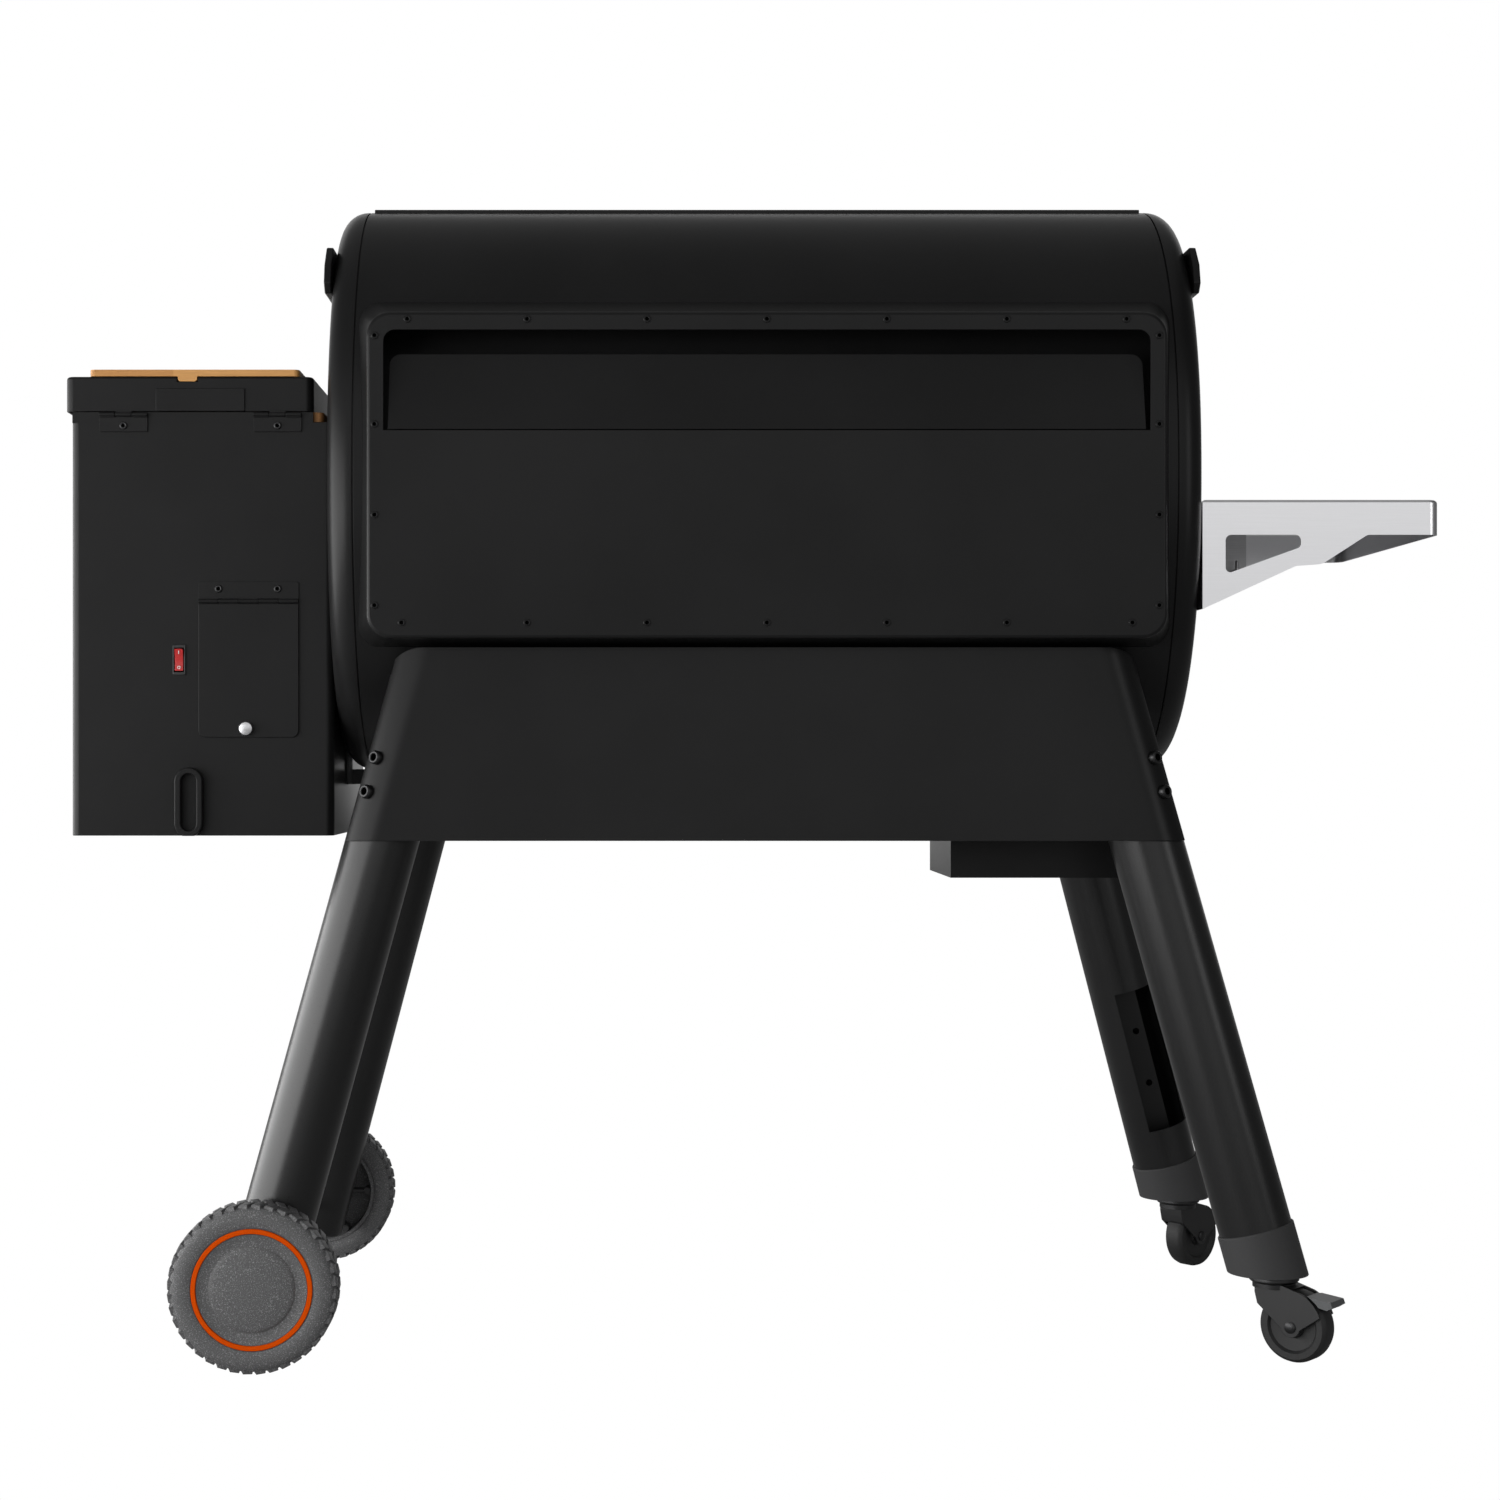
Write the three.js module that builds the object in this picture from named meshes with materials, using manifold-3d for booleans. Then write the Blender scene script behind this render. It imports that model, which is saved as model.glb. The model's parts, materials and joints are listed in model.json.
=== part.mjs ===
// A large barrel pellet smoker grill on four splayed legs, in millimetres with +Z up.
// +X points to the pellet hopper, -Y is the front where the lid handle is, and the floor is Z = 0.
// Everything is laid out from the middle of the barrel, and the last group shifts it to the row's origin.

import * as THREE from 'three';
import { mergeVertices } from 'three/addons/utils/BufferGeometryUtils.js';
import Module from 'manifold-3d';

const wasm = await Module();
wasm.setup();

// ---------------------------------------------------------------- driving dimensions

const GAP = 0.3;                 // clearance between pieces that touch
const BARREL_TO_ORIGIN = -19.5;  // where the middle of the barrel lies along X

const barrel = {
  y: -25, z: 930, halfDepth: 250, halfHeight: 316, power: 2.2, steps: 32,
  bodyHalf: 434, capHalf: 463.6, edgeRound: 27, sheet: 2.5, wall: 26,
};
const lid = {
  pivotY: 115, pivotZ: 1155, splitRadius: 112, frontY: -275, frontZ: 905, gap: 1,
};
const arm = { inner: 464.2, outer: 472, rearY: 160, bottomZ: 1128, topZ: 1181, frontY: -20 };
const handle = { y: -305, z: 965, radius: 11, half: 330, postX: 300 };

const vent = {
  faceY: 258, faceHalf: 415, faceLow: 751, faceHigh: 1089, baseHalf: 430, baseLow: 746, baseHigh: 1108,
  corner: 25, sheet: 2.5, mouthHalf: 398, mouthLow: 967, mouthHigh: 1071, mouthCorner: 12,
  baffleTopY: 237, baffleTopZ: 1049, baffleHalf: 393.5,
};

const leg = {
  radius: 38.2, wall: 2.5, xAtTop: 403, topRefZ: 545, splay: Math.tan(15 * Math.PI / 180),
  y: 194.3, yRefZ: 630, lean: Math.tan(4.17 * Math.PI / 180), cutZ: 705,
};
const apron = {
  clear: 1, sheet: 2.5, lowZ: 540, highZ: 740, wrapDeg: 60, shoulderZ: 706, round: 45, topHalf: 360,
};
const legWindow = { high: 346, low: 150, across: 60, depth: 36 };

const wheel = { x: 526, z: 86.5, radius: 86.5, outerY: 318, innerY: 275.5, rim: 63, axleRadius: 6 };
const caster = {
  x: 531, y: 237, capRadius: 40.4, capLow: 88, capHigh: 134, bearingRadius: 26, bearingLow: 80.3,
  wheelRadius: 37.5, wheelHalf: 12.5, trailX: 20, trailY: 17, axleRadius: 6,
};

const brake = { pinZ: 68.6, press: 5 * Math.PI / 180, steps: 6 };

const hopper = {
  left: 465.6, right: 751.8, rear: 123, front: -185, low: 542, high: 993, sheet: 2.5, corner: 9,
};
const hopperLid = {
  left: 488, right: 758, rear: 123, front: -192, low: 1004.7, high: 1042.7, corner: 9,
  pivotY: 127, pivotZ: 1000.8,
};
const board = {
  left: 503.1, right: 731.7, front: -178, high: 1050.2, tabLeft: 614.5, tabRight: 635.5, tabLow: 1037.4,
};
const cleanDoor = { left: 503.4, right: 612.5, low: 649.2, pivotZ: 797.6, pin: 2.2, corner: 7.6 };
const doorway = { left: 511, right: 605, low: 657, high: 788 };
const knob = { x: 560.1, z: 658.7, radius: 7.6 };
const controller = {
  left: 505, right: 715, low: 855, high: 965, depth: 12, dialX: 560, dialZ: 905, buttonZ: 880,
};

const shelf = {
  outer: 719, inner: 466.5, half: 192, top: 901.5, rimLow: 864, sheet: 1.5, corner: 12,
};

const auger = {
  y: -25, z: 690, tubeInner: 30, tubeOuter: 33, from: 86, to: 640, flight: 27, shaft: 9, pitch: 92,
};
const firePot = { y: -25, radius: 70, low: 654, high: 748, wall: 3 };
const fan = { y: 62, z: 690, radius: 46, from: 470, to: 510, duct: 26, blade: 18 };
const grease = {
  left: 210, right: 400, half: 100, low: 495, high: 598, trayLow: 499, trayHigh: 535, drainX: 305,
};

// ---------------------------------------------------------------- colours

const finishes = {
  black: new THREE.MeshStandardMaterial({ color: 0x262628, roughness: 0.6, metalness: 0.3 }),
  tube: new THREE.MeshStandardMaterial({ color: 0x303032, roughness: 0.4, metalness: 0.4 }),
  steel: new THREE.MeshStandardMaterial({ color: 0xb9bcbf, roughness: 0.35, metalness: 0.9 }),
  stainless: new THREE.MeshStandardMaterial({ color: 0xd5d7d8, roughness: 0.3, metalness: 0.9 }),
  inside: new THREE.MeshStandardMaterial({ color: 0x6d6b67, roughness: 0.6, metalness: 0.6 }),
  rubber: new THREE.MeshStandardMaterial({ color: 0x6e7072, roughness: 0.9, metalness: 0 }),
  plastic: new THREE.MeshStandardMaterial({ color: 0x2c2d2f, roughness: 0.6, metalness: 0 }),
  grey: new THREE.MeshStandardMaterial({ color: 0x47494b, roughness: 0.7, metalness: 0 }),
  bamboo: new THREE.MeshStandardMaterial({ color: 0xcf9146, roughness: 0.6, metalness: 0 }),
  red: new THREE.MeshStandardMaterial({ color: 0xb82a26, roughness: 0.4, metalness: 0 }),
  silver: new THREE.MeshStandardMaterial({ color: 0xc4c6c8, roughness: 0.5, metalness: 0 }),
};

// ---------------------------------------------------------------- solids

// The volume inside a closed triangle mesh, negative when its faces point inwards.
function signedVolume(corners, triangles) {
  const at = (k) => new THREE.Vector3(corners[3 * k], corners[3 * k + 1], corners[3 * k + 2]);
  let volume = 0;
  for (let i = 0; i < triangles.length; i += 3) {
    volume += at(triangles[i]).dot(at(triangles[i + 1]).cross(at(triangles[i + 2]))) / 6;
  }
  return volume;
}

function solidOf(geometry) {
  const bare = geometry.clone();
  bare.deleteAttribute('normal');
  bare.deleteAttribute('uv');
  const welded = mergeVertices(bare, 1e-4);
  const index = welded.index.array;
  const triangles = [];
  for (let i = 0; i < index.length; i += 3) {
    const [a, b, c] = [index[i], index[i + 1], index[i + 2]];
    if (a !== b && b !== c && c !== a) triangles.push(a, b, c);
  }
  const corners = welded.attributes.position.array;
  if (signedVolume(corners, triangles) < 0) triangles.reverse();
  return new wasm.Manifold(new wasm.Mesh({
    numProp: 3, vertProperties: corners, triVerts: new Uint32Array(triangles),
  }));
}

function geometryOf(solid) {
  const mesh = solid.getMesh();
  const geometry = new THREE.BufferGeometry();
  geometry.setAttribute('position', new THREE.BufferAttribute(new Float32Array(mesh.vertProperties), 3));
  geometry.setIndex(new THREE.BufferAttribute(new Uint32Array(mesh.triVerts), 1));
  return geometry;
}

const moved = (solid, matrix) => solidOf(geometryOf(solid).applyMatrix4(matrix));
const mirrored = (solid, x, y) => moved(solid, new THREE.Matrix4().makeScale(x, y, 1));
const joined = (...solids) => solids.reduce((whole, piece) => whole.add(piece));
const without = (solid, ...cuts) => cuts.reduce((rest, cut) => rest.subtract(cut), solid);

function block(x0, x1, y0, y1, z0, z1) {
  const box = new THREE.BoxGeometry(x1 - x0, y1 - y0, z1 - z0);
  return solidOf(box.translate((x0 + x1) / 2, (y0 + y1) / 2, (z0 + z1) / 2));
}

// Shapes are drawn in (Y, Z), (X, Z) or (X, Y) and pushed along the axis that is left.
function extruded(shape, from, to, basis, axis, steps) {
  const geometry = new THREE.ExtrudeGeometry(
    shape, { depth: to - from, bevelEnabled: false, curveSegments: steps },
  );
  geometry.translate(0, 0, from);
  const [u, v] = basis.map((entry) => new THREE.Vector3(...entry));
  return solidOf(geometry.applyMatrix4(new THREE.Matrix4().makeBasis(u, v, new THREE.Vector3(...axis))));
}
const alongX = (shape, from, to, steps = 3) => extruded(
  shape, from, to, [[0, 1, 0], [0, 0, 1]], [1, 0, 0], steps,
);
const alongY = (shape, from, to, steps = 3) => extruded(
  shape, from, to, [[1, 0, 0], [0, 0, 1]], [0, 1, 0], steps,
);
const alongZ = (shape, from, to, steps = 3) => extruded(
  shape, from, to, [[1, 0, 0], [0, 1, 0]], [0, 0, 1], steps,
);

// A round bar or cone between two points.
function rod(radius, from, to, sides = 16, endRadius = radius) {
  const start = new THREE.Vector3(...from);
  const run = new THREE.Vector3(...to).sub(start);
  const geometry = new THREE.CylinderGeometry(endRadius, radius, run.length(), sides);
  geometry.translate(0, run.length() / 2, 0);
  geometry.applyQuaternion(
    new THREE.Quaternion().setFromUnitVectors(new THREE.Vector3(0, 1, 0), run.clone().normalize()),
  );
  return solidOf(geometry.translate(start.x, start.y, start.z));
}

// A profile of [radius, position] pairs turned about a line along X, Y or Z.
function turned(profile, centre, axis, sides = 24) {
  const geometry = new THREE.LatheGeometry(profile.map(([r, h]) => new THREE.Vector2(r, h)), sides);
  const turn = new THREE.Quaternion().setFromUnitVectors(
    new THREE.Vector3(0, 1, 0), new THREE.Vector3(...axis)
  );
  return solidOf(geometry.applyQuaternion(turn).translate(...centre));
}

function roundedRect(left, right, low, high, radius) {
  const shape = new THREE.Shape();
  shape.moveTo(left + radius, low);
  shape.lineTo(right - radius, low);
  shape.absarc(right - radius, low + radius, radius, -Math.PI / 2, 0, false);
  shape.lineTo(right, high - radius);
  shape.absarc(right - radius, high - radius, radius, 0, Math.PI / 2, false);
  shape.lineTo(left + radius, high);
  shape.absarc(left + radius, high - radius, radius, Math.PI / 2, Math.PI, false);
  shape.lineTo(left, low + radius);
  shape.absarc(left + radius, low + radius, radius, Math.PI, 1.5 * Math.PI, false);
  return shape;
}

const polygon = (points) => new THREE.Shape(points.map(([a, b]) => new THREE.Vector2(a, b)));

// A closed skin through rings of the same number of points, capped at both ends.
function lofted(rings, flatten) {
  const count = rings[0].length;
  const corners = rings.flat().flatMap((point) => [point.x, point.y, point.z]);
  const triangles = [];
  for (let r = 0; r < rings.length - 1; r += 1) {
    for (let i = 0; i < count; i += 1) {
      const [a, b] = [r * count + i, r * count + ((i + 1) % count)];
      triangles.push(a, b, b + count, a, b + count, a + count);
    }
  }
  const last = (rings.length - 1) * count;
  const lowFaces = THREE.ShapeUtils.triangulateShape(rings[0].map(flatten), []);
  for (const [a, b, c] of lowFaces) triangles.push(c, b, a);
  for (const [a, b, c] of THREE.ShapeUtils.triangulateShape(rings.at(-1).map(flatten), [])) {
    triangles.push(last + a, last + b, last + c);
  }
  const geometry = new THREE.BufferGeometry();
  geometry.setAttribute('position', new THREE.BufferAttribute(new Float32Array(corners), 3));
  geometry.setIndex(triangles);
  return solidOf(geometry);
}

const grill = new THREE.Group();

function part(name, solid, material) {
  const mesh = new THREE.Mesh(geometryOf(solid), finishes[material]);
  mesh.name = name;
  grill.add(mesh);
}

// ---------------------------------------------------------------- barrel and lid

function barrelOutline(inset) {
  const points = [];
  for (let i = 0; i < barrel.steps; i += 1) {
    const angle = (i / barrel.steps) * 2 * Math.PI;
    const across = Math.sign(Math.cos(angle)) * Math.abs(Math.cos(angle)) ** (2 / barrel.power);
    const up = Math.sign(Math.sin(angle)) * Math.abs(Math.sin(angle)) ** (2 / barrel.power);
    points.push(new THREE.Vector2(
      barrel.y + (barrel.halfDepth - inset) * across,
      barrel.z + (barrel.halfHeight - inset) * up,
    ));
  }
  return points;
}

const barrelSlug = (inset, from, to) => alongX(new THREE.Shape(barrelOutline(inset)), from, to);
const barrelTube = (outer, inner, half) => without(
  barrelSlug(outer, -half, half),
  barrelSlug(inner, -half - 1, half + 1),
);

// The part of the section that opens: outside the circle about the hinge and above the slanted split line.
function lidRegion(clearance) {
  const far = 400;
  const radius = lid.splitRadius + clearance;
  const run = new THREE.Vector2(
    lid.frontY - (lid.pivotY - lid.splitRadius), lid.frontZ - lid.pivotZ,
  ).normalize();
  const rise = new THREE.Vector2(run.y, -run.x).multiplyScalar(clearance);
  const shape = new THREE.Shape();
  shape.moveTo(lid.frontY + run.x * far + rise.x, lid.frontZ + run.y * far + rise.y);
  shape.lineTo(lid.pivotY - radius, lid.pivotZ + clearance);
  for (let degrees = 175; degrees >= 105; degrees -= 5) {
    const angle = degrees * Math.PI / 180;
    shape.lineTo(lid.pivotY + radius * Math.cos(angle), lid.pivotZ + radius * Math.sin(angle));
  }
  shape.lineTo(lid.pivotY, lid.pivotZ + far);
  shape.lineTo(lid.frontY - far, lid.pivotZ + far);
  return alongX(shape, -600, 600);
}

const lidCut = lidRegion(-lid.gap / 2);
const lidKeep = lidRegion(lid.gap / 2);

// One barrel end: a flat face with a rounded rim, hollow towards the barrel.
function barrelEnd(side) {
  const rings = (grow, depth) => {
    const rim = barrel.edgeRound + grow;
    const list = [
      barrelOutline(-grow).map((p) => new THREE.Vector3(side * (barrel.bodyHalf + GAP), p.x, p.y)),
    ];
    for (let step = 0; step <= 2; step += 1) {
      const angle = (step / 2) * Math.PI / 2;
      const x = depth - rim * (1 - Math.sin(angle));
      const inset = rim * (1 - Math.cos(angle)) - grow;
      list.push(barrelOutline(inset).map((p) => new THREE.Vector3(side * x, p.x, p.y)));
    }
    return list;
  };
  const flatten = (point) => new THREE.Vector2(point.y, point.z);
  const outside = lofted(rings(0, barrel.capHalf), flatten);
  const inside = lofted(rings(-3, barrel.capHalf - 3), flatten);
  const mouth = barrelSlug(
    3, side < 0 ? -barrel.bodyHalf - 1 : barrel.bodyHalf - 5,
    side < 0 ? -barrel.bodyHalf + 5 : barrel.bodyHalf + 1,
  );
  return without(outside, inside, mouth);
}

const grateVents = [];
for (let i = -2.5; i <= 2.5; i += 1) grateVents.push(block(i * 110 - 42, i * 110 + 42, 150, 240, 925, 955));

part('barrel_shell', without(barrelTube(0, barrel.sheet, barrel.bodyHalf), lidCut, ...grateVents), 'black');
// A folded strip stiffens the lid's rear edge and stands a little proud of the shell behind it.
const rearStrip = block(-429.5, 429.5, 32, 37.5, 1230, 1243).subtract(barrelSlug(barrel.sheet, -440, 440));
part('lid_skin', barrelTube(0, barrel.sheet, barrel.bodyHalf).intersect(lidKeep).add(rearStrip), 'black');

// The inner wall is a pan: its edges turn outwards to meet the skin all round.
function innerPan(region, cavityRegion) {
  const half = barrel.bodyHalf - GAP;
  const blank = barrelTube(barrel.sheet + GAP, barrel.wall, half);
  const cavity = barrelTube(-1, barrel.wall - 2, half - 2);
  return region(blank).subtract(cavityRegion(cavity));
}
const bodyCutWide = lidRegion(-4);
const lidKeepNarrow = lidRegion(4);
const bodyPan = innerPan((s) => s.subtract(lidCut), (s) => s.subtract(bodyCutWide));
part('chamber_liner', without(bodyPan, ...grateVents), 'inside');
part('lid_liner', innerPan((s) => s.intersect(lidKeep), (s) => s.intersect(lidKeepNarrow)), 'inside');

// The hinge arm lies outside the barrel end, bolted to the lid and turning on a pin in the body.
function hingeArm(side) {
  const shape = new THREE.Shape();
  shape.moveTo(arm.rearY - 8, arm.bottomZ);
  shape.lineTo(arm.rearY, arm.bottomZ + 10);
  shape.lineTo(arm.rearY - 6, arm.topZ - 22);
  shape.lineTo(arm.rearY - 26, arm.topZ);
  shape.lineTo(lid.pivotY - 40, arm.topZ);
  shape.lineTo(arm.frontY, arm.topZ - 10);
  shape.lineTo(arm.frontY, arm.topZ - 35);
  shape.lineTo(lid.pivotY - 60, arm.bottomZ);
  const plate = alongX(shape, arm.inner, arm.outer);
  const bore = rod(5.3, [arm.inner - 1, lid.pivotY, lid.pivotZ], [arm.outer + 1, lid.pivotY, lid.pivotZ]);
  return mirrored(plate.subtract(bore), side, 1);
}

for (const [side, name] of [[1, 'hopper_side'], [-1, 'shelf_side']]) {
  const end = barrelEnd(side);
  const cuts = [lidCut];
  if (side > 0) {
    cuts.push(rod(auger.tubeOuter + 1, [430, auger.y, auger.z], [470, auger.y, auger.z]));
    cuts.push(rod(fan.duct, [430, fan.y, fan.z], [470, fan.y, fan.z]));
  }
  const pin = rod(5, [side * 462, lid.pivotY, lid.pivotZ], [side * arm.outer, lid.pivotY, lid.pivotZ]);
  part(`body_end_${name}`, without(end, ...cuts).add(pin), 'black');
  part(`lid_end_${name}`, end.intersect(lidKeep), 'black');
  part(`lid_hinge_arm_${name}`, hingeArm(side), 'black');
}
const posts = [-1, 1].map((side) => rod(
  8,
  [side * handle.postX, handle.y, handle.z],
  [side * handle.postX, -270, handle.z - 3],
  16,
));
const bar = rod(handle.radius, [-handle.half, handle.y, handle.z], [handle.half, handle.y, handle.z]);
part('lid_handle', joined(bar, ...posts).subtract(barrelSlug(-GAP, -433, 433)), 'stainless');

// ---------------------------------------------------------------- rear exhaust

function ventFrustum(inset) {
  const ring = (half, low, high, y) => roundedRect(
    -half + inset, half - inset, low + inset, high - inset, vent.corner - inset,
  )
    .getPoints(3).slice(0, -1).map((p) => new THREE.Vector3(p.x, y, p.y));
  const rootY = 150;
  const grow = (vent.faceY - rootY) / (vent.faceY - 200);
  const widen = (face, base) => face + (base - face) * grow;
  return lofted([
    ring(
      widen(vent.faceHalf, vent.baseHalf), widen(vent.faceLow, vent.baseLow),
      widen(vent.faceHigh, vent.baseHigh), rootY,
    ),
    ring(vent.faceHalf, vent.faceLow, vent.faceHigh, vent.faceY - inset),
  ], (point) => new THREE.Vector2(point.x, point.z));
}

const mouth = new THREE.Shape();
mouth.moveTo(-vent.mouthHalf, vent.mouthLow);
mouth.lineTo(vent.mouthHalf, vent.mouthLow);
mouth.absarc(
  vent.mouthHalf - vent.mouthCorner, vent.mouthHigh - vent.mouthCorner, vent.mouthCorner, 0, Math.PI / 2,
  false,
);
mouth.absarc(
  -vent.mouthHalf + vent.mouthCorner, vent.mouthHigh - vent.mouthCorner, vent.mouthCorner, Math.PI / 2,
  Math.PI, false,
);
part('exhaust_cover', without(
  ventFrustum(0),
  ventFrustum(vent.sheet),
  barrelSlug(-GAP, -500, 500),
  alongY(mouth, 240, 270),
), 'black');

// The baffle leans in from the lower lip of the mouth, and smoke leaves over its top edge.
const baffleRise = vent.baffleTopZ - vent.mouthLow;
const baffleLean = Math.atan2(vent.faceY - vent.baffleTopY, baffleRise);
const baffleLength = Math.hypot(baffleRise, vent.faceY - vent.baffleTopY);
const baffle = alongY(
  roundedRect(-vent.baffleHalf, vent.baffleHalf, -vent.mouthCorner, baffleLength, vent.mouthCorner), -2, 0,
)
  .subtract(block(-500, 500, -10, 10, -40, 1));
const baffleSeat = new THREE.Matrix4().makeTranslation(0, vent.faceY, vent.mouthLow);
part(
  'exhaust_baffle', moved(baffle, baffleSeat.multiply(new THREE.Matrix4().makeRotationX(baffleLean))),
  'black',
);

// ---------------------------------------------------------------- legs and aprons

const legX = (z) => leg.xAtTop + (leg.topRefZ - z) * leg.splay;
const legY = (z) => leg.y + (leg.yRefZ - z) * leg.lean;
const legPoint = (z, sx = 1, sy = 1) => [sx * legX(z), sy * legY(z), z];

function legTube(sx, sy, lowZ) {
  const outer = rod(leg.radius, legPoint(lowZ, sx, sy), legPoint(leg.cutZ, sx, sy), 16);
  const inner = rod(leg.radius - leg.wall, legPoint(lowZ - 20, sx, sy), legPoint(leg.cutZ + 20, sx, sy), 16);
  return without(outer, inner, barrelSlug(-0.6, -470, 470));
}

// The apron lies in the plane that touches both leg tubes and wraps round the outside of each.
function apronSheet(sy) {
  const lean = Math.atan(leg.lean);
  const splay = Math.atan(leg.splay * Math.cos(lean));
  const inner = leg.radius + apron.clear;
  const outer = inner + apron.sheet;
  const low = (apron.lowZ - leg.yRefZ) / Math.cos(lean);
  const high = (apron.highZ - leg.yRefZ) / Math.cos(lean);
  const axisX = (z) => legX(leg.yRefZ) - z * Math.tan(splay);
  const plate = polygon(
    [[-axisX(low - 40), low - 40], [axisX(low - 40), low - 40], [axisX(high), high], [-axisX(high), high]],
  );
  const bead = 0.2;
  let sheet = alongY(plate, inner, outer);
  for (const sx of [1, -1]) {
    const ring = new THREE.Shape();
    const start = Math.PI / 2 - apron.wrapDeg * Math.PI / 180;
    ring.absarc(0, 0, outer - bead, start, Math.PI * 0.54, false);
    ring.absarc(0, 0, inner + bead, Math.PI * 0.54, start, true);
    const out = new THREE.Vector3(sx * Math.cos(splay), 0, Math.sin(splay));
    const up = new THREE.Vector3(-sx * Math.sin(splay), 0, Math.cos(splay));
    const wrap = new THREE.ExtrudeGeometry(
      ring, { depth: high - low + 80, bevelEnabled: false, curveSegments: 6 },
    );
    wrap.translate(0, 0, low - 50);
    wrap.applyMatrix4(new THREE.Matrix4().makeBasis(out, new THREE.Vector3(0, 1, 0), up));
    sheet = sheet.add(solidOf(wrap.translate(sx * legX(leg.yRefZ), 0, 0)));
  }
  const shoulder = (apron.shoulderZ - leg.yRefZ) / Math.cos(lean);
  const halfAtShoulder = apron.topHalf + apron.round;
  const outline = new THREE.Shape();
  outline.moveTo(-600, low);
  outline.lineTo(600, low);
  outline.lineTo(600, shoulder - 20);
  outline.lineTo(halfAtShoulder + 12, shoulder - 20);
  outline.bezierCurveTo(halfAtShoulder - 2, shoulder + 12, apron.topHalf + 25, high, apron.topHalf, high);
  outline.lineTo(-apron.topHalf, high);
  outline.bezierCurveTo(
    -apron.topHalf - 25, high, -halfAtShoulder + 2, shoulder + 12, -halfAtShoulder - 12, shoulder - 20,
  );
  outline.lineTo(-600, shoulder - 20);
  sheet = sheet.intersect(alongY(outline, -60, 60, 8));
  const tilt = new THREE.Matrix4().makeTranslation(0, leg.y, leg.yRefZ).multiply(
    new THREE.Matrix4().makeRotationX(lean),
  );
  const flangeY = legY(apron.highZ) + inner;
  const flange = block(
    -apron.topHalf + 4, apron.topHalf - 4, 150, flangeY + 1.4, apron.highZ - 3.5, apron.highZ - 1.5,
  );
  return mirrored(moved(sheet, tilt).add(flange), 1, sy);
}
for (const [sy, name] of [[1, 'rear'], [-1, 'front']]) {
  part(`${name}_apron`, apronSheet(sy).subtract(barrelSlug(-GAP, -500, 500)), 'black');
  part(`hopper_leg_${name}`, legTube(1, sy, 52).subtract(
    rod(wheel.axleRadius + GAP, [wheel.x, sy * 150, wheel.z], [wheel.x, sy * 300, wheel.z]),
  ), 'tube');
}

// The front leg on the shelf side has a service window with a flat back plate behind it.
const windowMiddle = legPoint((legWindow.high + legWindow.low) / 2, -1, -1);
const windowTurn = new THREE.Euler(-Math.atan(leg.lean), Math.atan(leg.splay), 0);
const windowHeight = legWindow.high - legWindow.low;
const windowHole = solidOf(new THREE.BoxGeometry(legWindow.across, legWindow.depth, windowHeight)
  .translate(-legWindow.across / 2 + 4, legWindow.depth / 2 + 6, 0)
  .applyMatrix4(new THREE.Matrix4().makeRotationFromEuler(windowTurn))
  .translate(...windowMiddle));
part('shelf_leg_rear', legTube(-1, 1, 102), 'tube');
part('shelf_leg_front', legTube(-1, -1, 102).subtract(windowHole), 'tube');

// ---------------------------------------------------------------- wheels

part('wheel_axle', rod(wheel.axleRadius, [wheel.x, -302, wheel.z], [wheel.x, 302, wheel.z], 20), 'steel');

function wheelTyre(sy) {
  const half = (wheel.outerY - wheel.innerY) / 2;
  const tyre = turned([
    [wheel.rim, -half + 3], [wheel.rim + 6, -half], [wheel.radius - 5, -half], [wheel.radius, -half + 6],
    [wheel.radius, half - 6], [wheel.radius - 5, half], [wheel.rim + 6, half], [wheel.rim, half - 3],
    [wheel.rim, -half + 3],
  ], [0, 0, 0], [0, 1, 0], 20);
  const middle = sy * (wheel.outerY + wheel.innerY) / 2;
  return moved(tyre, new THREE.Matrix4().makeTranslation(wheel.x, middle, wheel.z));
}

function wheelHub(sy) {
  const rim = wheel.rim - GAP;
  const outer = (wheel.outerY - wheel.innerY) / 2;
  let hub = turned([
    [0, 8], [rim - 4, 8], [rim - 4, -outer + 2],
    [rim, -outer + 2], [rim, outer - 1.6], [57, outer - 1.6], [57, outer - 3],
    [50, outer - 7], [44, outer - 7],
    [44, outer - 1.5],
    [40, outer], [0, outer],
  ], [0, 0, 0], [0, 1, 0], 20);
  hub = hub.add(rod(wheel.axleRadius + 9, [0, -outer + 2, 0], [0, 10, 0], 20));
  hub = hub.subtract(rod(wheel.axleRadius + 0.2, [0, -60, 0], [0, 6, 0], 20));
  const middle = sy * (wheel.outerY + wheel.innerY) / 2;
  const place = new THREE.Matrix4().makeTranslation(wheel.x, middle, wheel.z);
  return moved(hub, place.multiply(new THREE.Matrix4().makeScale(1, sy, 1)));
}

for (const [sy, name] of [[1, 'rear'], [-1, 'front']]) {
  part(`wheel_tyre_${name}`, wheelTyre(sy), 'rubber');
  part(`wheel_hub_${name}`, wheelHub(sy), 'grey');
}

// ---------------------------------------------------------------- casters

function legCap(sy) {
  const cup = rod(caster.capRadius, legPoint(60, -1, sy), legPoint(caster.capHigh, -1, sy), 16);
  const socket = rod(leg.radius + GAP, legPoint(101, -1, sy), legPoint(caster.capHigh + 20, -1, sy), 16);
  const below = block(-700, -400, sy > 0 ? 100 : -400, sy > 0 ? 400 : -100, 0, caster.capLow);
  const bearing = rod(
    caster.bearingRadius,
    [-caster.x, sy * caster.y, caster.bearingLow],
    [-caster.x, sy * caster.y, caster.capLow + 4],
    28,
  );
  const bore = rod(6, [-caster.x, sy * caster.y, 70], [-caster.x, sy * caster.y, 89]);
  return without(cup, socket, below).add(bearing).subtract(bore);
}

function largest(solid) {
  return solid.decompose().sort((a, b) => b.volume() - a.volume())[0];
}

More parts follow.
